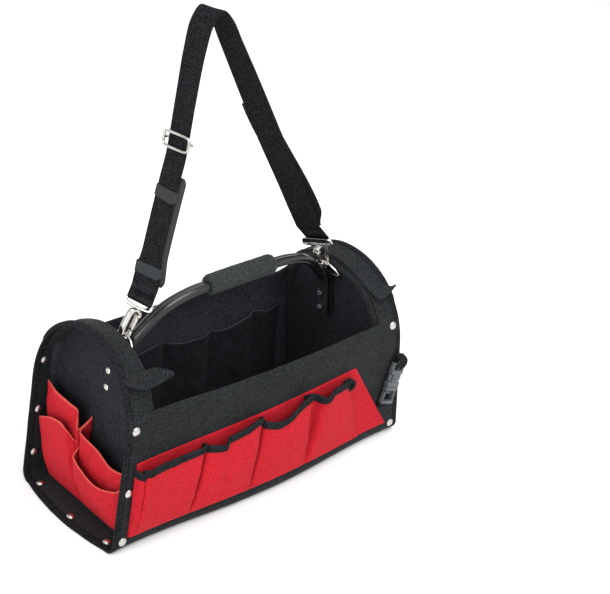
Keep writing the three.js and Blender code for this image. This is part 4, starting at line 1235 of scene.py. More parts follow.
@dataclass
class Pockets:
    """The red panel and pockets on the front, the two tiers on each end and the row inside the back wall."""

    cloth: float = FORM.pocket_cloth
    binding: float = 7.8
    tape_cloth: float = 0.9
    tape_end: float = 0.965
    tape_inside: float = 0.3
    tape_roll: float = 0.12
    knot_line: tuple[Triple, ...] = (
        (110, 119, 8), (118, 119.5, 8), (124, 116, 7.5), (125, 110, 7), (120, 106.5, 6), (115, 109, 5),
    )
    knot_halves: Pair = (4.0, 2.7)
    tiers: tuple[tuple[PocketRow, float], ...] = ((TALL_ROW, 112.0), (LOW_ROW, 84.0))
    panel_left: float = 17
    panel_left_top: float = 116.5
    panel_right_top: float = 129
    panel_right: float = 134
    panel_corner: float = 205

    def front(self) -> None:
        """Builds the front panel, its pockets and the tape on their mouth."""
        foot = FRONT_ROW.foot

        def panel(u: float, v: float) -> Vector:
            """Returns a place on the inner face of the panel."""
            z = mix(foot, mix(self.panel_left_top, self.panel_right_top, u), v)
            share = (z - foot) / (self.panel_right_top - foot)
            right = mix(self.panel_corner, self.panel_right, share)
            x = mix(-FORM.rim_x(z, self.panel_left), right, u)
            return FORM.on_front(x, z, FORM.gap + 0.5 * abs(crumple(x / 40, z / 30, 2.0)))

        size = (400.0, 110.0)
        form = Form().grid(90, 26, panel, size)
        piece = form.piece("front_panel_cloth", Paint.RED, ["pocket_back_front"], (self.cloth, 1), "red_canvas")

        def pocket(u: float, v: float) -> Vector:
            """Returns a place on the inner face of the pleated strip."""
            return FRONT_ROW.point(FORM.on_front, u, v)

        form = Form().grid(310, 44, pocket, (520.0, 98.0))
        piece = form.piece("front_pockets_cloth", Paint.RED, ["front_pockets"], (self.cloth, 1), "red_canvas")
        self.tape()
        self.knot()

    def tape(self) -> None:
        """Builds the tape folded over the mouth of the front pockets."""
        turn, roll = self.tape_inside, self.tape_roll

        def wrap(u: float, v: float) -> Vector:
            """Returns a place on the middle of the tape, from inside the mouth over it and down the outside."""
            along = u * self.tape_end
            height = FRONT_ROW.spread(along).mouth - FRONT_ROW.foot
            if v < turn:
                drop, out = mix(5.0, 0.4, ease(v / turn)), -0.6
            elif v < turn + roll:
                angle = math.pi * (v - turn) / roll
                drop, out = 0.4 - 1.1 * math.sin(angle), 0.7 - 1.45 * math.cos(angle)
            else:
                t = (v - turn - roll) / (1 - turn - roll)
                drop, out = mix(0.4, self.binding, t), 2.15 + 0.25 * math.sin(math.pi * t)
            return FRONT_ROW.off(FORM.on_front, along, 1 - drop / height, out)

        form = Form().grid(300, 22, wrap, (400.0, 14.0))
        cloth = (self.tape_cloth, 0)
        piece = form.piece("pocket_tape", Paint.TAPE, ["pocket_binding"], cloth, "black_webbing", edge=0.25)

    def knot(self) -> None:
        """Builds the curled loose end of that tape."""
        track = Track([FORM.on_front(*at) for at in self.knot_line], True)
        out = Vector((0, -1, 0))

        def middle(v: float) -> Frame:
            """Returns the tape's centre and directions."""
            return track.at(v), out, track.tangent(v).cross(out).normalized()

        def section(u: float, v: float) -> Pair:
            """Returns the tape's section: folded flat."""
            angle = math.tau * u
            wide, deep = self.knot_halves
            return wide * power(math.cos(angle), 0.5), deep * power(math.sin(angle), 0.6)

        form = Form().tube(middle, section, 18, 48, (11, track.length))
        form.piece("pocket_tape_end", Paint.TAPE, slot="black_webbing")

    def ends(self, side: str, way: int) -> None:
        """Builds the two tiers of pockets on an end."""
        def carrier(y: float, z: float, out: float) -> Vector:
            """Returns a place on the end."""
            return FORM.on_end(way, y, z, out)

        for row, depth in self.tiers:
            def place(u: float, v: float, row: PocketRow = row) -> Vector:
                """Returns a place on the inner face of the tier."""
                return row.point(carrier, 1 - u if way < 0 else u, v)

            def raw(u: float, v: float) -> float:
                """Returns where the cut edge of the cloth shows."""
                return ease((v - 0.975) / 0.02) * 0.75

            size = (230.0, depth)
            form = Form().grid(168, 60, place, size, raw)
            name = f"{row.name}_{side}"
            piece = form.piece(f"{name}_cloth", [Paint.RED, Paint.RED_EDGE], [name], (self.cloth, 1), "red_canvas")
            depth * MM

    def inside(self) -> None:
        """Builds the row inside the back wall."""
        def place(u: float, v: float) -> Vector:
            """Returns a place on the outer face of the row."""
            return INNER_ROW.point(FORM.in_back, u, v)

        form = Form().grid(200, 36, place, (390.0, 112.0))
        paints = (Paint.LINING, Paint.LINING_EDGE)
        piece = form.piece("inner_pockets_cloth", paints, ["inner_pockets"], (self.cloth, 1), "black_canvas")
        path = [INNER_ROW.point(FORM.in_back, mix(0.01, 0.99, t), 0.975, self.cloth + 0.3) for t in shares(220)]
        thread = Form()
        stitch_row(thread, path, [Vector((0, -1, 0.2))] * len(path))
        thread.piece("inner_pockets_stitches", Paint.THREAD)


@dataclass
class Handle:
    """The flat oval tube, its sleeve and its bolts."""

    wide: float = 15
    deep: float = 10
    top: float = 263
    foot: float = 152
    bend: float = 190
    forward: float = 16
    skew: float = 12
    grip_length: float = 102
    grip_radius: float = 12.5
    bolts: Pair = (164, 185)
    web: float = 1.8
    rail: float = 1.4
    arch: Outline = ((157, 210), (139, 231), (112, 252), (78, 261.5))
    dome: Outline = ((0, 1.9), (2.2, 1.7), (3.8, 1.1), (4.6, 0.3), (4.6, 0), (0, 0))
    washer: Outline = (
        (0, 1.5), (2.4, 1.5), (3.6, 1.2), (5.6, 0.9), (6.2, 0.5), (6.2, 0), (0, 0),
    )
    nut: Outline = (
        (0, 0.6), (1.7, 0.6), (1.9, 1.8), (3.0, 1.7), (3.7, 0.9), (3.7, 0), (0, 0),
    )

    def foot_y(self, way: int) -> float:
        """Returns where a foot of the tube stands across the bag."""
        return way * self.skew / 2

    @property
    def web_depth(self) -> float:
        """Depth of the two layers of webbing under a foot."""
        return 2 * self.web + 3 * FORM.gap

    def line(self) -> Track:
        """Returns the middle line of the tube, from the left foot over to the right one."""
        inset = FORM.end_inset + FORM.board + self.web_depth + FORM.gap + self.deep / 2
        half = [(FORM.rim_x(z, inset), z) for z in (self.foot, 175, self.bend)]
        half += [*self.arch, (40, self.top)]

        def place(at: Pair, way: int) -> Vector:
            """Returns a point of one half of the line."""
            x, z = at
            lean = max(z - self.bend, 0) / (self.top - self.bend)
            return Vector((way * x, way * self.skew / 2 * x / half[0][0] - self.forward * lean, z))

        return Track([*(place(p, -1) for p in half), *(place(p, 1) for p in reversed(half))], True)

    def frame(self, track: Track, share: float) -> Frame:
        """Returns the centre and directions of the tube's section: across the bag, and out of the bend."""
        across = Vector((0, 1, 0))
        out = track.tangent(share).cross(across).normalized()
        return track.at(share), across, out

    def build(self) -> None:
        """Builds the tube, the sleeve and the bolts."""
        track = self.line()

        def tube(u: float, v: float) -> Pair:
            """Returns the tube's section: a flat oval with a groove, which has grooved sides over the arch."""
            angle = math.tau * u
            arched = ease((track.at(v).z - self.bend - 8) / 24)
            a = self.wide / 2 * power(math.cos(angle), 0.8)
            b = self.deep / 2 * power(math.sin(angle), 0.8) * (1.0 if u < 0.5 else mix(1.0, self.rail, arched))
            side = 1.5 * arched * math.exp(-(((b + 2.2) / 1.0) ** 2))
            groove = mix(1.5, 0.7, arched) * math.exp(-((a / 1.9) ** 2))
            if abs(a) > self.wide * 0.3:
                a -= math.copysign(side, a)
            return a, b - math.copysign(groove, b) if abs(b) > 1 else b

        form = Form().tube(lambda v: self.frame(track, v), tube, 80, 180, (40, track.length))
        form.piece("handle_tube", Paint.TUBE, ["handle"], slot="black_tube")
        share = self.grip_length / track.length / 2

        def sleeve(u: float, v: float) -> Pair:
            """Returns the sleeve's section: round, pulled in at its ends, with soft creases."""
            angle = math.tau * u
            end = min(v, 1 - v) * self.grip_length
            radius = self.grip_radius * mix(0.86, 1.0, ease(end / 5) ** 0.5)
            radius += 0.35 * crumple(math.cos(angle) * 2, v * 9, 6.0) + 0.25 * crumple(math.sin(angle) * 3, v * 25, 8.0)
            seam = 0.8 * math.exp(-(((u - 0.28) / 0.012) ** 2))
            radius -= seam
            return radius * math.cos(angle), radius * math.sin(angle)

        def along(v: float) -> Frame:
            """Returns the sleeve's centre and directions."""
            return self.frame(track, mix(0.5 - share, 0.5 + share, v))

        form = Form().tube(along, sleeve, 56, 70, (75, self.grip_length))
        form.piece("grip_sleeve", Paint.GRIP, ["handle_grip"], slot="grip_cloth")
        for side, way in SIDES:
            self.fasten(side, way)

    def fasten(self, side: str, way: int) -> None:
        """Builds the two bolts at one foot of the tube."""
        inward = Vector((-way, 0, -FORM.lean)).normalized()
        through = FORM.board + self.web_depth + self.deep + 2 * FORM.gap
        for i, z in enumerate(self.bolts, 1):
            face = FORM.on_end(way, self.foot_y(way), z, 0)
            head = Form().lathe(self.dome, stand_on(face - inward * 0.1, -inward))
            head.piece(f"handle_bolt_{side}_{i}_heads", Paint.STEEL, [f"handle_bolt_{side}_{i}"], slot="bright_steel")
            ring = Form().lathe(self.washer, stand_on(face + inward * (through - 0.2), inward))
            ring.piece(f"handle_washer_{side}_{i}", Paint.DARK_STEEL)
            back = Form().lathe(self.nut, stand_on(face + inward * (through + 0.5), inward))
            back.piece(f"handle_nut_{side}_{i}", Paint.ZINC)


HANDLE = Handle()


@dataclass
class Hardware:
    """The rings, their loops, the snap hooks and their gates."""

    loop_width: float = 22
    loop_foot: float = 156
    loop_top: float = 213
    ring_wire: float = 1.7
    ring_half: float = 20.5
    ring_arch: float = 15
    ring_heel: float = 3
    ring_slip: float = -4
    wire: float = 2.2
    broad: float = 1.6
    half: float = 6
    shoulder: float = 24
    neck: float = 30
    eye_low: float = 33
    eye_high: float = 43
    eye_halves: Pair = (15.5, 19)
    eye_wire: float = 1.8
    tilt: float = 0.5
    turns: Pair = (0.55, 0.45)
    gate_tip: float = 5.6
    cheek: Outline = ((0, 1.4), (2.7, 1.4), (3.2, 1.0), (3.2, 0.3), (2.8, 0), (0, 0))
    post: Outline = (
        (0, 6), (2.2, 6), (2.8, 5.2), (2.8, 3.4), (3.6, 2.6), (3.6, 0.8), (2.8, 0), (0, 0),
    )
    hub: Outline = ((0, 6.0), (1.7, 6.0), (2.1, 5.6), (2.1, 0.4), (1.7, 0), (0, 0))

    def turn(self, way: int) -> float:
        """Returns how far a hook's eye is turned about the hook."""
        return self.turns[0] if way < 0 else self.turns[1]

    @property
    def ring_x(self) -> float:
        """Where the heel of a ring lies along the bag."""
        inset = FORM.end_inset + FORM.board + 2 * FORM.gap + HANDLE.web + self.ring_wire
        return FORM.rim_x(self.loop_top, inset)

    def ring_y(self, way: int) -> float:
        """Returns where a ring lies across the bag."""
        return HANDLE.foot_y(way) + self.ring_slip

    def ring_crown(self, way: int) -> Vector:
        """Returns the top of a ring."""
        reach = self.ring_heel + self.ring_arch
        x = self.ring_x - reach * math.sin(self.tilt)
        return Vector((way * x, self.ring_y(way), self.loop_top + reach * math.cos(self.tilt)))

    def eye(self, way: int) -> Vector:
        """Returns the middle of the bar of a hook's eye."""
        crown = self.ring_crown(way)
        along, up = math.sin(self.tilt), math.cos(self.tilt)
        return crown + Vector((-way * self.eye_high * along, 0, self.eye_high * up))

    def eye_bar(self, way: int) -> Vector:
        """Returns the direction of the bar of a hook's eye."""
        sine = math.sin(self.turn(way))
        return Vector((sine * math.cos(self.tilt), -math.cos(self.turn(way)), way * sine * math.sin(self.tilt)))

    def stand(self, way: int) -> Matrix:
        """Returns the place of a hook: its own origin is the ring's wire and its gate is towards +X."""
        turned = Matrix.Rotation(math.pi if way > 0 else 0.0, 4, "Z")
        return Matrix.Translation(self.ring_crown(way)) @ Matrix.Rotation(-way * self.tilt, 4, "Y") @ turned

    def build(self, side: str, way: int) -> None:
        """Builds one end's ring, loop, hook and gate."""
        self.ring(side, way)
        self.loop(side, way)
        self.hook(side, way)
        self.gate(side, way)

    def ring(self, side: str, way: int) -> None:
        """Builds a ring, flat along its heel and arched above it."""
        def outline(angle: float) -> Vector:
            """Returns a point of the ring's middle line."""
            up = math.sin(angle)
            exponent = 0.4 if up < 0 else 1.0
            y = self.ring_half * power(math.cos(angle), exponent)
            z = -self.ring_heel * abs(up) ** exponent if up < 0 else self.ring_arch * up
            return Vector((0, y, z + self.ring_heel))

        heel = Vector((way * self.ring_x, self.ring_y(way), self.loop_top))
        stand = Matrix.Translation(heel) @ Matrix.Rotation(-way * self.tilt, 4, "Y")
        form = Form().wire(outline, Vector((1, 0, 0)), self.ring_wire, (math.tau * self.ring_wire, 120), stand)
        form.piece(f"d_ring_{side}_wire", Paint.STEEL, [f"d_ring_{side}"], slot="bright_steel")

    def loop(self, side: str, way: int) -> None:
        """Builds the webbing folded over the heel of a ring, with both ends under the handle's foot."""
        bend = self.ring_wire + FORM.gap + HANDLE.web / 2
        near = FORM.end_inset + FORM.board + FORM.gap + HANDLE.web / 2
        far = near + HANDLE.web + FORM.gap
        y = HANDLE.foot_y(way)

        def flat(inset: float, z: float) -> Vector:
            """Returns a point beside the end board."""
            return Vector((way * FORM.rim_x(z, inset), y, z))

        points = [flat(near, self.loop_foot), flat(near, self.loop_top - 14)]
        for t in shares(12):
            angle = math.pi * t
            x = self.ring_x + bend * math.cos(angle)
            points.append(Vector((way * x, y, self.loop_top + bend * math.sin(angle))))
        points += [flat(far, self.loop_top - 14), flat(far, self.loop_foot)]
        track = Track(points)

        def place(u: float, v: float) -> Vector:
            """Returns a place on the middle of the webbing."""
            return track.at(v) + Vector((0, (u - 0.5) * self.loop_width, 0))

        size = (self.loop_width, track.length)
        piece = Form().grid(8, 90, place, size).piece(
            f"ring_loop_{side}_web", Paint.WEB, [f"ring_loop_{side}"], (HANDLE.web, 0), "black_webbing"
        )

    def hook(self, side: str, way: int) -> None:
        """Builds a snap hook: the bent bar, the cheeks of its gate, the swivel and the eye."""
        stand = self.stand(way)
        turn = stand.to_3x3()
        seat = self.half - self.ring_wire - FORM.gap - self.wire
        points = [Vector((0, 0, self.neck)), Vector((1 - self.half, 0, self.shoulder + 3))]
        points.append(Vector((-self.half, 0, self.shoulder - 4)))
        for t in shares(6):
            angle = math.pi * (1 + t)
            points.append(Vector((self.half * math.cos(angle), 0, seat + self.half * math.sin(angle))))
        points.append(Vector((self.half, 0, seat + 3)))
        track = Track(points, True)

        def stout(v: float) -> float:
            """Returns how much stouter the casting is along its straight back."""
            return 0.8 * ease(v * 6) * ease((0.62 - v) * 6)

        def lie(path: Track, v: float, back: float) -> Frame:
            """Returns the centre, moved back, and the directions of a bar along a path."""
            along = path.tangent(v)
            at = path.at(v) - Vector((back, 0, 0))
            return stand @ at, turn @ Vector((0, 1, 0)), turn @ Vector((along.z, 0, -along.x))

        def bar(u: float, v: float) -> Pair:
            """Returns the bar's section: flat and broad, and narrower at its tip."""
            wire = self.wire * mix(1.0, 0.8, ease((v - 0.8) * 5))
            angle = math.tau * u
            deep = 1.3 * wire + stout(v)
            return self.broad * wire * power(math.cos(angle), 0.6), deep * power(math.sin(angle), 0.8)

        form = Form().tube(lambda v: lie(track, v, stout(v)), bar, 16, 80, (14, track.length))
        rod = Track([Vector((0, 0, self.neck)), Vector((self.half - 1, 0, self.shoulder + 3.4))])
        form.tube(lambda v: lie(rod, v, 0.0), lambda u, v: bar(u, 0), 16, 4, (14, rod.length))
        pivot = Vector((self.half, 0, self.shoulder))
        for out in (-1, 1):
            at = stand @ (pivot + Vector((0, out * 3.2, 0)))
            form.lathe(self.cheek, stand_on(at, turn @ Vector((0, out, 0))), 20)
        saddle = stand @ Matrix.Translation((self.half - 1, 0, self.shoulder + 3.8))
        form.block(Vector((3, 9.2, 2.4)), saddle, 0.6)
        form.lathe(self.post, stand @ Matrix.Translation((0, 0, self.neck - 2.4)), 24)
        middle = (self.eye_low + self.eye_high) / 2
        spun = Matrix.Rotation(self.turn(way), 3, "Z")

        def outline(angle: float) -> Vector:
            """Returns a point of the eye's middle line."""
            y = self.eye_halves[way > 0] * power(math.cos(angle), 0.4 if math.sin(angle) > 0 else 0.8)
            z = (self.eye_high - self.eye_low) / 2 * power(math.sin(angle), 0.4)
            return spun @ Vector((0, y, middle + z))

        form.wire(outline, spun @ Vector((1, 0, 0)), self.eye_wire, (11, 110), stand)
        form.piece(f"hook_{side}_bar", Paint.STEEL, [f"hook_{side}"], slot="bright_steel")

    def gate(self, side: str, way: int) -> None:
        """Builds a hook's gate: the lever and the hub that it turns on."""
        stand = self.stand(way)
        turn = stand.to_3x3()
        form = Form()
        lever = stand @ Matrix.Translation((self.half, 0, (self.shoulder + self.gate_tip) / 2))
        form.block(Vector((4.4, 5.6, self.shoulder - self.gate_tip)), lever, 1.2, 4)
        at = stand @ Vector((self.half, -3.0, self.shoulder))
        form.lathe(self.hub, stand_on(at, turn @ Vector((0, 1, 0))), 20)
        form.piece(f"gate_{side}_lever", Paint.STEEL, [f"gate_{side}"], slot="bright_steel", body=f"gate_{side}")


HARDWARE = Hardware()


@dataclass
class Strap:
    """The shoulder strap, its doubled end, its slider, its pad and the pad's keepers."""

    width: float = 32
    thick: float = 2
    tail_thick: float = 1.8
    start: float = 0.005
    settle: float = 0.07
    lap: float = 5
    lies: Pair = (0.03, 0.6)
    tail: Pair = (0.69, 0.994)
    tail_shift: Pair = (-4, 9)
    pad: Pair = (0.008, 0.2)
    pad_width: float = 37
    pad_thick: float = 8
    pad_shift: float = 1.4
    gather: float = 7
    gather_length: float = 42
    keeper: float = 1.2
    keeper_length: float = 13
    keepers: tuple[tuple[str, float], ...] = (("pad_keeper_low", 0.035), ("pad_keeper_high", 0.167))
    slider: float = 0.256
    slider_length: float = 20
    slider_bar: float = 2.6
    slider_turn: float = 0.14
    points: Outline = (
        (-135, 278), (-129, 310), (-115, 368), (-104.5, 408), (-98.5, 430), (-89, 490), (-79.5, 545), (-71, 574),
        (-58.5, 587), (-46, 577), (-29, 548), (-3.5, 504), (40, 428), (87, 350), (124, 286),
    )
    run: Track = field(init=False)

    def __post_init__(self) -> None:
        """Lays the strap's line between the two hooks."""
        left, right = HARDWARE.eye(-1), HARDWARE.eye(1)
        line = []
        for x, z in self.points:
            line.append(Vector((x, mix(left.y, right.y, (x - left.x) / (right.x - left.x)), z)))
        self.run = Track(line, True)

    def frame(self, share: float, turn: float = 0.0) -> tuple[Vector, Vector, Vector, Vector]:
        """Finds how the strap lies at a place.

        Args:
            share: the share of the strap's length.
            turn: how much farther than the strap something on it is turned.

        Returns:
            The place, and the directions along the strap, across it and out of its loop.
        """
        along = self.run.tangent(share)
        settled = min(share, 1 - share, self.settle) / self.settle
        lie = mix(*self.lies, ease((share - 0.3) / 0.5)) + turn
        turned = Vector((math.sin(lie), -math.cos(lie), 0))
        side = HARDWARE.eye_bar(-1 if share < 0.5 else 1).lerp(turned, ease(settled))
        side = (side - along * side.dot(along)).normalized()
        return self.run.at(share), along, side, side.cross(along)

    def turn_round(self, way: int) -> list[tuple[Vector, Vector]]:
        """Returns points and width directions where the strap turns round an eye, from its free end to its run."""
        point = self.run.at(0 if way < 0 else 1)
        side = HARDWARE.eye_bar(way)
        eye = HARDWARE.eye(way)
        away = point - eye
        away = (away - side * away.dot(side)).normalized()
        out = side.cross(away) * -way
        bend = HARDWARE.eye_wire + 3 * FORM.gap + self.thick / 2
        arc = []
        for t in shares(10):
            angle = math.pi * t
            arc.append((eye - away * (bend * math.sin(angle)) - out * (bend * math.cos(angle)), side))
        return [(arc[0][0] + away * self.lap, side), *arc]

    def build(self) -> None:
        """Builds everything on the strap."""
        rows = [*self.turn_round(-1)]
        for t in shares(220):
            point, _, side, _ = self.frame(mix(self.start, 1 - self.start, t))
            rows.append((point, side))
        rows += reversed(self.turn_round(1))
        track = Track([point for point, _ in rows])
        sides = [side for _, side in rows]

        def place(u: float, v: float) -> Vector:
            """Returns a place on the middle of the webbing."""
            i = min(int(v * (len(rows) - 1) + 0.5), len(rows) - 1)
            width = self.width - self.gather * (1 - ease(v * track.length / self.gather_length))
            return rows[i][0] + sides[i] * ((u - 0.5) * width)

        size = (self.width, track.length)
        form = Form().grid(10, len(rows) - 1, place, size)
        piece = form.piece("strap_web", Paint.WEB, ["shoulder_strap"], (self.thick, 0), "black_webbing", edge=0.5)
        self.doubled()
        self.padding()
        self.fittings()

    def doubled(self) -> None:
        """Builds the strap's doubled end."""
        start, end = self.tail
        over = (self.thick + self.tail_thick) / 2 + FORM.gap

        def place(u: float, v: float) -> Vector:
            """Returns a place on the layer, which fans out to one side and lifts a little between its ends."""
            point, _, side, away = self.frame(mix(start, end, v))
            shift = mix(*self.tail_shift, ease(v * 1.1)) - 8 * ease((v - 0.86) * 7)
            lift = over + 0.8 * math.sin(math.pi * v) ** 2
            return point + side * ((u - 0.5) * self.width + shift) + away * lift

        length = (end - start) * self.run.length
        form = Form().grid(10, 80, place, (self.width, length))
        piece = form.piece("strap_tail_web", Paint.WEB, ["strap_tail"], (self.tail_thick, 0), "black_webbing", edge=0.5)

    def padding(self) -> None:
        """Builds the pad behind the strap, ribbed across its faces."""
        start, end = self.pad
        middle = -(self.thick / 2 + FORM.gap + self.pad_thick / 2)
        length = (end - start) * self.run.length

        def line(v: float) -> Frame:
            """Returns the pad's centre and directions."""
            point, _, side, away = self.frame(mix(start, end, v))
            return point + away * middle + side * self.pad_shift, side, away

        def section(u: float, v: float) -> Pair:
            """Returns the pad's section: full in the middle, thin and rounded at its sides and ends."""
            angle = math.tau * u
            tip = min(v, 1 - v) * length
            close = ease(tip / 7) ** 0.5
            a = self.pad_width / 2 * power(math.cos(angle), 0.42) * mix(0.86, 1.0, close)
            b = self.pad_thick / 2 * power(math.sin(angle), 0.62) * mix(0.35, 1.0, close)
            rib = 0.35 * math.sin(v * length / 2.6) if abs(a) < self.pad_width * 0.38 else 0.0
            return a, b + math.copysign(rib, b) * close

        form = Form().tube(line, section, 64, 150, (92, length))
        form.piece("strap_pad", Paint.RUBBER, ["shoulder_pad"], slot="grey_rubber")

    def fittings(self) -> None:
        """Builds the pad's keepers and the slider."""
        outer = self.thick / 2 + FORM.gap
        inner = -self.thick / 2 - self.pad_thick * 0.6
        wide = self.width / 2 + 2 * FORM.gap
        half_deep = (outer - inner) / 2
        for name, share in self.keepers:
            point, along, side, away = self.frame(share)
            centre = point + away * ((outer + inner) / 2)

            def line(
                v: float, c: Vector = centre, s: Vector = side, a: Vector = away, way: Vector = along
            ) -> Frame:
                """Returns the middle of the band's wall and its directions."""
                angle = math.tau * v
                x = (wide + self.keeper / 2) * power(math.cos(angle), 0.3)
                y = (half_deep + self.keeper / 2) * power(math.sin(angle), 0.3)
                near = Vector((math.cos(angle) * half_deep, math.sin(angle) * wide)).normalized()
                return c + s * x + a * y, s * near.x + a * near.y, way

            def section(u: float, v: float) -> Pair:
                """Returns the band's section: its lower edge is uneven."""
                angle = math.tau * u
                b = self.keeper_length / 2 * power(math.sin(angle), 0.3)
                wave = 1.3 * math.sin(6 * math.pi * v + 0.8) * ease(-2 * b / self.keeper_length)
                return self.keeper / 2 * power(math.cos(angle), 0.5), b + wave

            form = Form().tube(line, section, 28, 120, (34, 110), ring=True)
            form.piece(f"{name}_band", Paint.RUBBER, [name], slot="grey_rubber")
        self.adjuster()

    def adjuster(self) -> None:
        """Builds the slider: a rounded frame of wire over the strap and a bar behind it."""
        point, along, side, away = self.frame(self.slider, self.slider_turn)
        wire = self.slider_bar * 0.62
        half = self.width / 2 + 0.5 + wire
        end = self.slider_length / 2 - wire
        over = self.thick / 2 + 1.6 + wire

        def outline(angle: float) -> Vector:
            """Returns a point of the frame's middle line."""
            x, y = power(math.cos(angle), 0.36), power(math.sin(angle), 0.36)
            return point + side * (half * x) + along * (end * y) + away * over

        form = Form().wire(outline, away, wire, (10, 110), Matrix.Identity(4), 16, 120)
        stand = Matrix((side, away, -along)).transposed().to_4x4()
        stand.translation = point
        bar = self.slider_bar
        under = (self.thick + bar) / 2 + FORM.gap
        form.block(Vector((2 * half, bar, bar)), stand @ Matrix.Translation((0, -under, 0)), 0.8)
        for way in (-1, 1):
            post = Matrix.Translation((way * half, (over - under) / 2, 0))
            form.block(Vector((bar, over + under, bar)), stand @ post, 0.8)
        form.piece("strap_slider_frame", Paint.STEEL, ["strap_slider"], slot="bright_steel")


@dataclass
class Buckle:
    """The fastened side-release buckle on the right flange of the front wall, and its webbing."""

    x: float = 200
    z: float = 83
    tilt: float = 0.3
    width: float = 22
    thick: float = 8
    web: float = 1.5
    web_width: float = 15
    socket_slot: float = 28
    prong_slot: float = -9

    @property
    def back(self) -> float:
        """Depth of the webbing behind the buckle."""
        return self.thick / 2 + 1.6

    def stand(self) -> Matrix:
        """Returns the place of the buckle's middle."""
        face = FORM.on_front(self.x, self.z, self.thick / 2 + self.web + 2.2)
        return Matrix.Translation(face) @ Matrix.Rotation(self.tilt, 4, "Y")

    def build(self) -> None:
        """Builds the socket, the prongs and the two strips of webbing."""
        self.socket()
        self.prongs()
        self.strip("buckle_web_top", self.socket_slot, 1, 16, -self.back)
        self.strip("buckle_web_low", self.prong_slot, -1, 23, self.back - self.web - FORM.gap)

    def bars(self, form: Form, rows: Sequence[tuple[float, ...]]) -> None:
        """Adds rounded bars, each given by its middle across, out and up the buckle and by its three sizes."""
        stand = self.stand()
        for x, y, z, wide, deep, tall in rows:
            form.block(Vector((wide, deep, tall)), stand @ Matrix.Translation((x, y, z)), min(1.1, deep / 3, tall / 3))

    def socket(self) -> None:
        """Builds the socket: a shell with open sides, a ribbed face and a frame for the webbing."""
        half, thick = self.width / 2, self.thick
        form = Form()
        self.bars(form, [
            (0, 0, 3.4, 2 * half, thick, 6.8),
            (0.6, 0, 12.5, 2 * half - 9.4, thick, 13),
            (0, 0, 20.6, 2 * half - 1, thick, 6),
            (1.6 - half, 0, 27.4, 3.2, thick * 0.75, 9.6),
            (half - 1.6, 0, 27.4, 3.2, thick * 0.75, 9.6),
            (0, 0, 31.2, 2 * half, thick * 0.75, 3.4),
            *((0, -thick / 2, 7.6 + 3.1 * i, 2 * half - 12, 1.1, 1.5) for i in range(4)),
        ])
        form.piece("buckle_socket_shell", Paint.PLASTIC, ["buckle_socket"], slot="grey_plastic")

    def prongs(self) -> None:
        """Builds the prongs: the head, the two pressed sides in the socket and a frame with a bar for the webbing."""
        half, thick = self.width / 2, self.thick
        form = Form()
        self.bars(form, [
            (0, 0, -3.6, 2 * half - 0.6, thick * 0.9, 6.4),
            (2.1 - half, 0, 12.3, 3.8, thick * 0.62, 9.6),
            (half - 2.1, 0, 12.3, 3.8, thick * 0.62, 9.6),
            (1.2 - half, 0, -15.4, 2.4, thick * 0.75, 16),
            (half - 1.2, 0, -15.4, 2.4, thick * 0.75, 16),
            (0, 1.6, -10.6, 2 * half - 2, thick * 0.3, 2.4),
            (0, -0.6, -22.3, 2 * half, thick * 0.85, 4.4),
            (0, -thick * 0.45, -3.6, 2 * half - 10, 1.2, 2.6),
        ])
        form.piece("buckle_prongs_shell", Paint.PLASTIC, ["buckle_prongs"], slot="grey_plastic")

    def strip(self, name: str, slot: float, way: int, reach: float, front: float) -> None:
        """Builds a strip of webbing round a bar.

        Args:
            name: the strip's node.
            slot: the height of the strip's turn.
            way: 1 where the strip goes up from there, -1 where it goes down.
            reach: how far it goes.
            front: the depth of its front layer.
        """
        stand = self.stand()
        back = self.back
        bend = min(1.6, (back - front) / 3)

        def at(y: float, rise: float) -> Vector:
            """Returns a point of the strip's line."""
            return Vector((0, y, slot + way * rise))

        points = [at(back, reach), at(back, 3), at(back - bend * 0.4, 0.6), at(back - bend, 0), at(front + bend, 0)]
        points += [at(front + bend * 0.4, 0.6), at(front, 3)]
        if front < 0:
            points += [at(front - 1, reach * 0.5), at(front + 1, reach * 0.8)]
        points.append(at(back - self.web - FORM.gap, reach))
        track = Track(points, True)

        def place(u: float, v: float) -> Vector:
            """Returns a place on the middle of the strip."""
            return stand @ (track.at(v) + Vector(((u - 0.5) * self.web_width, 0, 0)))

        size = (self.web_width, track.length)
        form = Form().grid(8, 70, place, size)
        piece = form.piece(f"{name}_strip", Paint.WEB, [name], (self.web, 0), "black_webbing")


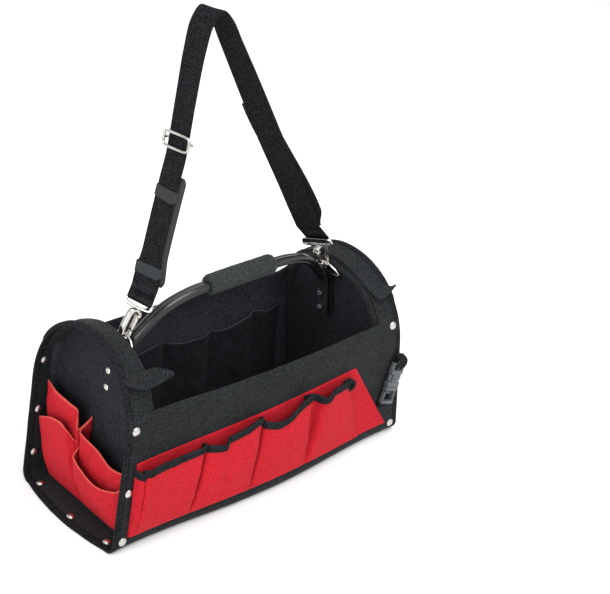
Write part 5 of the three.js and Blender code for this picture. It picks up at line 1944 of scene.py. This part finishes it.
@dataclass
class Rivets:
    """The rivet heads round the flange of each end."""

    inset: float = 11.5
    front: tuple[float, ...] = (16, 80)
    front_top: Pair = (158, 167)
    back: tuple[float, ...] = (34, 93, 160)
    base: tuple[float, ...] = (-70, -6, 70)
    profile: Outline = (
        (0, 2.7), (1.6, 2.6), (3.2, 2.1), (4.3, 1.3), (4.7, 0.8), (5.2, 0.7), (5.3, 0.3), (5.2, 0), (0, 0),
    )
    cap: Outline = ((0, 1.3), (2.2, 1.2), (3.8, 0.8), (4.4, 0.3), (4.4, 0), (0, 0))

    def normal(self, z: float, way: int) -> Vector:
        """Returns the direction out of the front wall, or into the bag from the back wall, at a height."""
        slope = FORM.half_width(z + 1) - FORM.half_width(z - 1)
        return Vector((0, -2, -way * slope)).normalized()

    def build(self, side: str, way: int) -> None:
        """Builds one end's rivets."""
        for i, z in enumerate((*self.front, self.front_top[way > 0]), 1):
            at = FORM.on_front(way * FORM.rim_x(z, self.inset), z, 0)
            self.rivet(f"rivet_front_{side}_{i}", at, self.normal(z, 1), FORM.wall)
        for i, z in enumerate(self.back, 1):
            at = FORM.in_back(way * FORM.rim_x(z, self.inset), z, 0)
            self.rivet(f"rivet_back_{side}_{i}", at, self.normal(z, -1), FORM.wall)
        for i, y in enumerate(self.base, 1):
            edge = FORM.length / 2 + FORM.ledge_bow * (1 - (y / FORM.bottom_edge) ** 2)
            at = Vector((way * (edge - self.inset), y, FORM.wall))
            self.rivet(f"rivet_base_{side}_{i}", at, Vector((0, 0, 1)))

    def rivet(self, node: str, at: Vector, normal: Vector, through: float = 0.0) -> None:
        """Builds one rivet.

        Args:
            node: the rivet's node.
            at: the foot of its head.
            normal: the direction out of the cloth there.
            through: the thickness of the cloth, where the rivet's cap shows on its other face.
        """
        form = Form().lathe(self.profile, stand_on(at + normal * 0.1, normal), 28)
        if through:
            form.lathe(self.cap, stand_on(at - normal * (through + 0.1), -normal), 24)
        form.piece(f"{node}_head", Paint.RIVET, [node], slot="bright_steel")


@dataclass
class Studio:
    """The floor, the light and the camera."""

    lens: float = 78.19
    azimuth: float = -0.78662
    elevation: float = 0.47806
    roll: float = 0.10145
    distance: float = 1691.7
    aim: Triple = (128.27, 0, 188.5)
    sensor: float = 36
    far: float = 100
    floor_size: float = 12000
    floor_drop: float = 0.2
    sky: float = 0.88
    lit: Triple = (0, 0, 0.15)
    lamps: tuple[tuple[str, Triple, float, float], ...] = (
        ("key", (0.3, -2.2, 2.6), 1.6, 43.0),
        ("fill", (-2.4, -0.8, 1.2), 1.6, 34.0),
        ("top", (0.1, -0.5, 2.8), 1.8, 34.0),
    )

    def build(self) -> None:
        """Builds the studio."""
        view = bpy.context.scene.view_settings
        view.view_transform = "Standard"
        view.look = "None"
        self.camera()
        self.floor()
        self.lights()

    def camera(self) -> None:
        """Sets the camera at the photograph's angle."""
        data = bpy.data.cameras.new("camera")
        data.lens = self.lens
        data.sensor_width = self.sensor
        data.clip_end = self.far
        data.dof.use_dof = False
        camera = put("camera", data)
        a, e = self.azimuth, self.elevation
        back = Vector((math.sin(a) * math.cos(e), -math.cos(a) * math.cos(e), math.sin(e)))
        right = Vector((math.cos(a), math.sin(a), 0))
        up = back.cross(right)
        x = right * math.cos(self.roll) + up * math.sin(self.roll)
        y = up * math.cos(self.roll) - right * math.sin(self.roll)
        place = Matrix((x, y, back)).transposed().to_4x4()
        place.translation = (Vector(self.aim) + back * self.distance) * MM
        camera.matrix_world = place
        bpy.context.scene.camera = camera

    def floor(self) -> None:
        """Lays a plain pale floor."""
        size = self.floor_size
        form = Form().grid(
            4, 4, lambda u, v: Vector(((u - 0.5) * size, (v - 0.5) * size, -self.floor_drop)), (size, size)
        )
        data = bpy.data.meshes.new("floor")
        bmesh.ops.scale(form.mesh, vec=(MM, MM, MM), verts=form.mesh.verts[:])
        form.mesh.to_mesh(data)
        form.mesh.free()
        floor = put("floor", data)
        shader = Shader("pale_floor")
        shader.set(Base_Color=(0.9, 0.9, 0.9), Roughness=0.9)
        data.materials.append(shader.material)

    def lights(self) -> None:
        """Sets a pale sky and three soft lamps."""
        world = bpy.data.worlds.new("studio")
        world.use_nodes = True
        sky = world.node_tree.nodes["Background"].inputs
        sky["Color"].default_value = (1, 1, 1, 1)
        sky["Strength"].default_value = self.sky
        bpy.context.scene.world = world
        for name, at, size, watts in self.lamps:
            data = bpy.data.lights.new(name, "AREA")
            data.size = size
            data.energy = watts
            lamp = put(name, data)
            lamp.location = at
            lamp.rotation_euler = (Vector(self.lit) - Vector(at)).to_track_quat("-Z", "Y").to_euler()


def main() -> None:
    """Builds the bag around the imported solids."""
    logging.basicConfig(level=logging.INFO, format="%(message)s")
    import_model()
    Studio().build()
    shell = Shell()
    shell.base()
    shell.wall("front_wall", -1, FORM.front_top, FORM.front_bow)
    shell.wall("back_wall", 1, FORM.back_top, FORM.back_bow)
    pockets = Pockets()
    pockets.front()
    pockets.inside()
    HANDLE.build()
    rivets = Rivets()
    for side, way in SIDES:
        shell.end(side, way)
        pockets.ends(side, way)
        HARDWARE.build(side, way)
        rivets.build(side, way)
    Strap().build()
    Buckle().build()


if __name__ == "__main__":
    main()
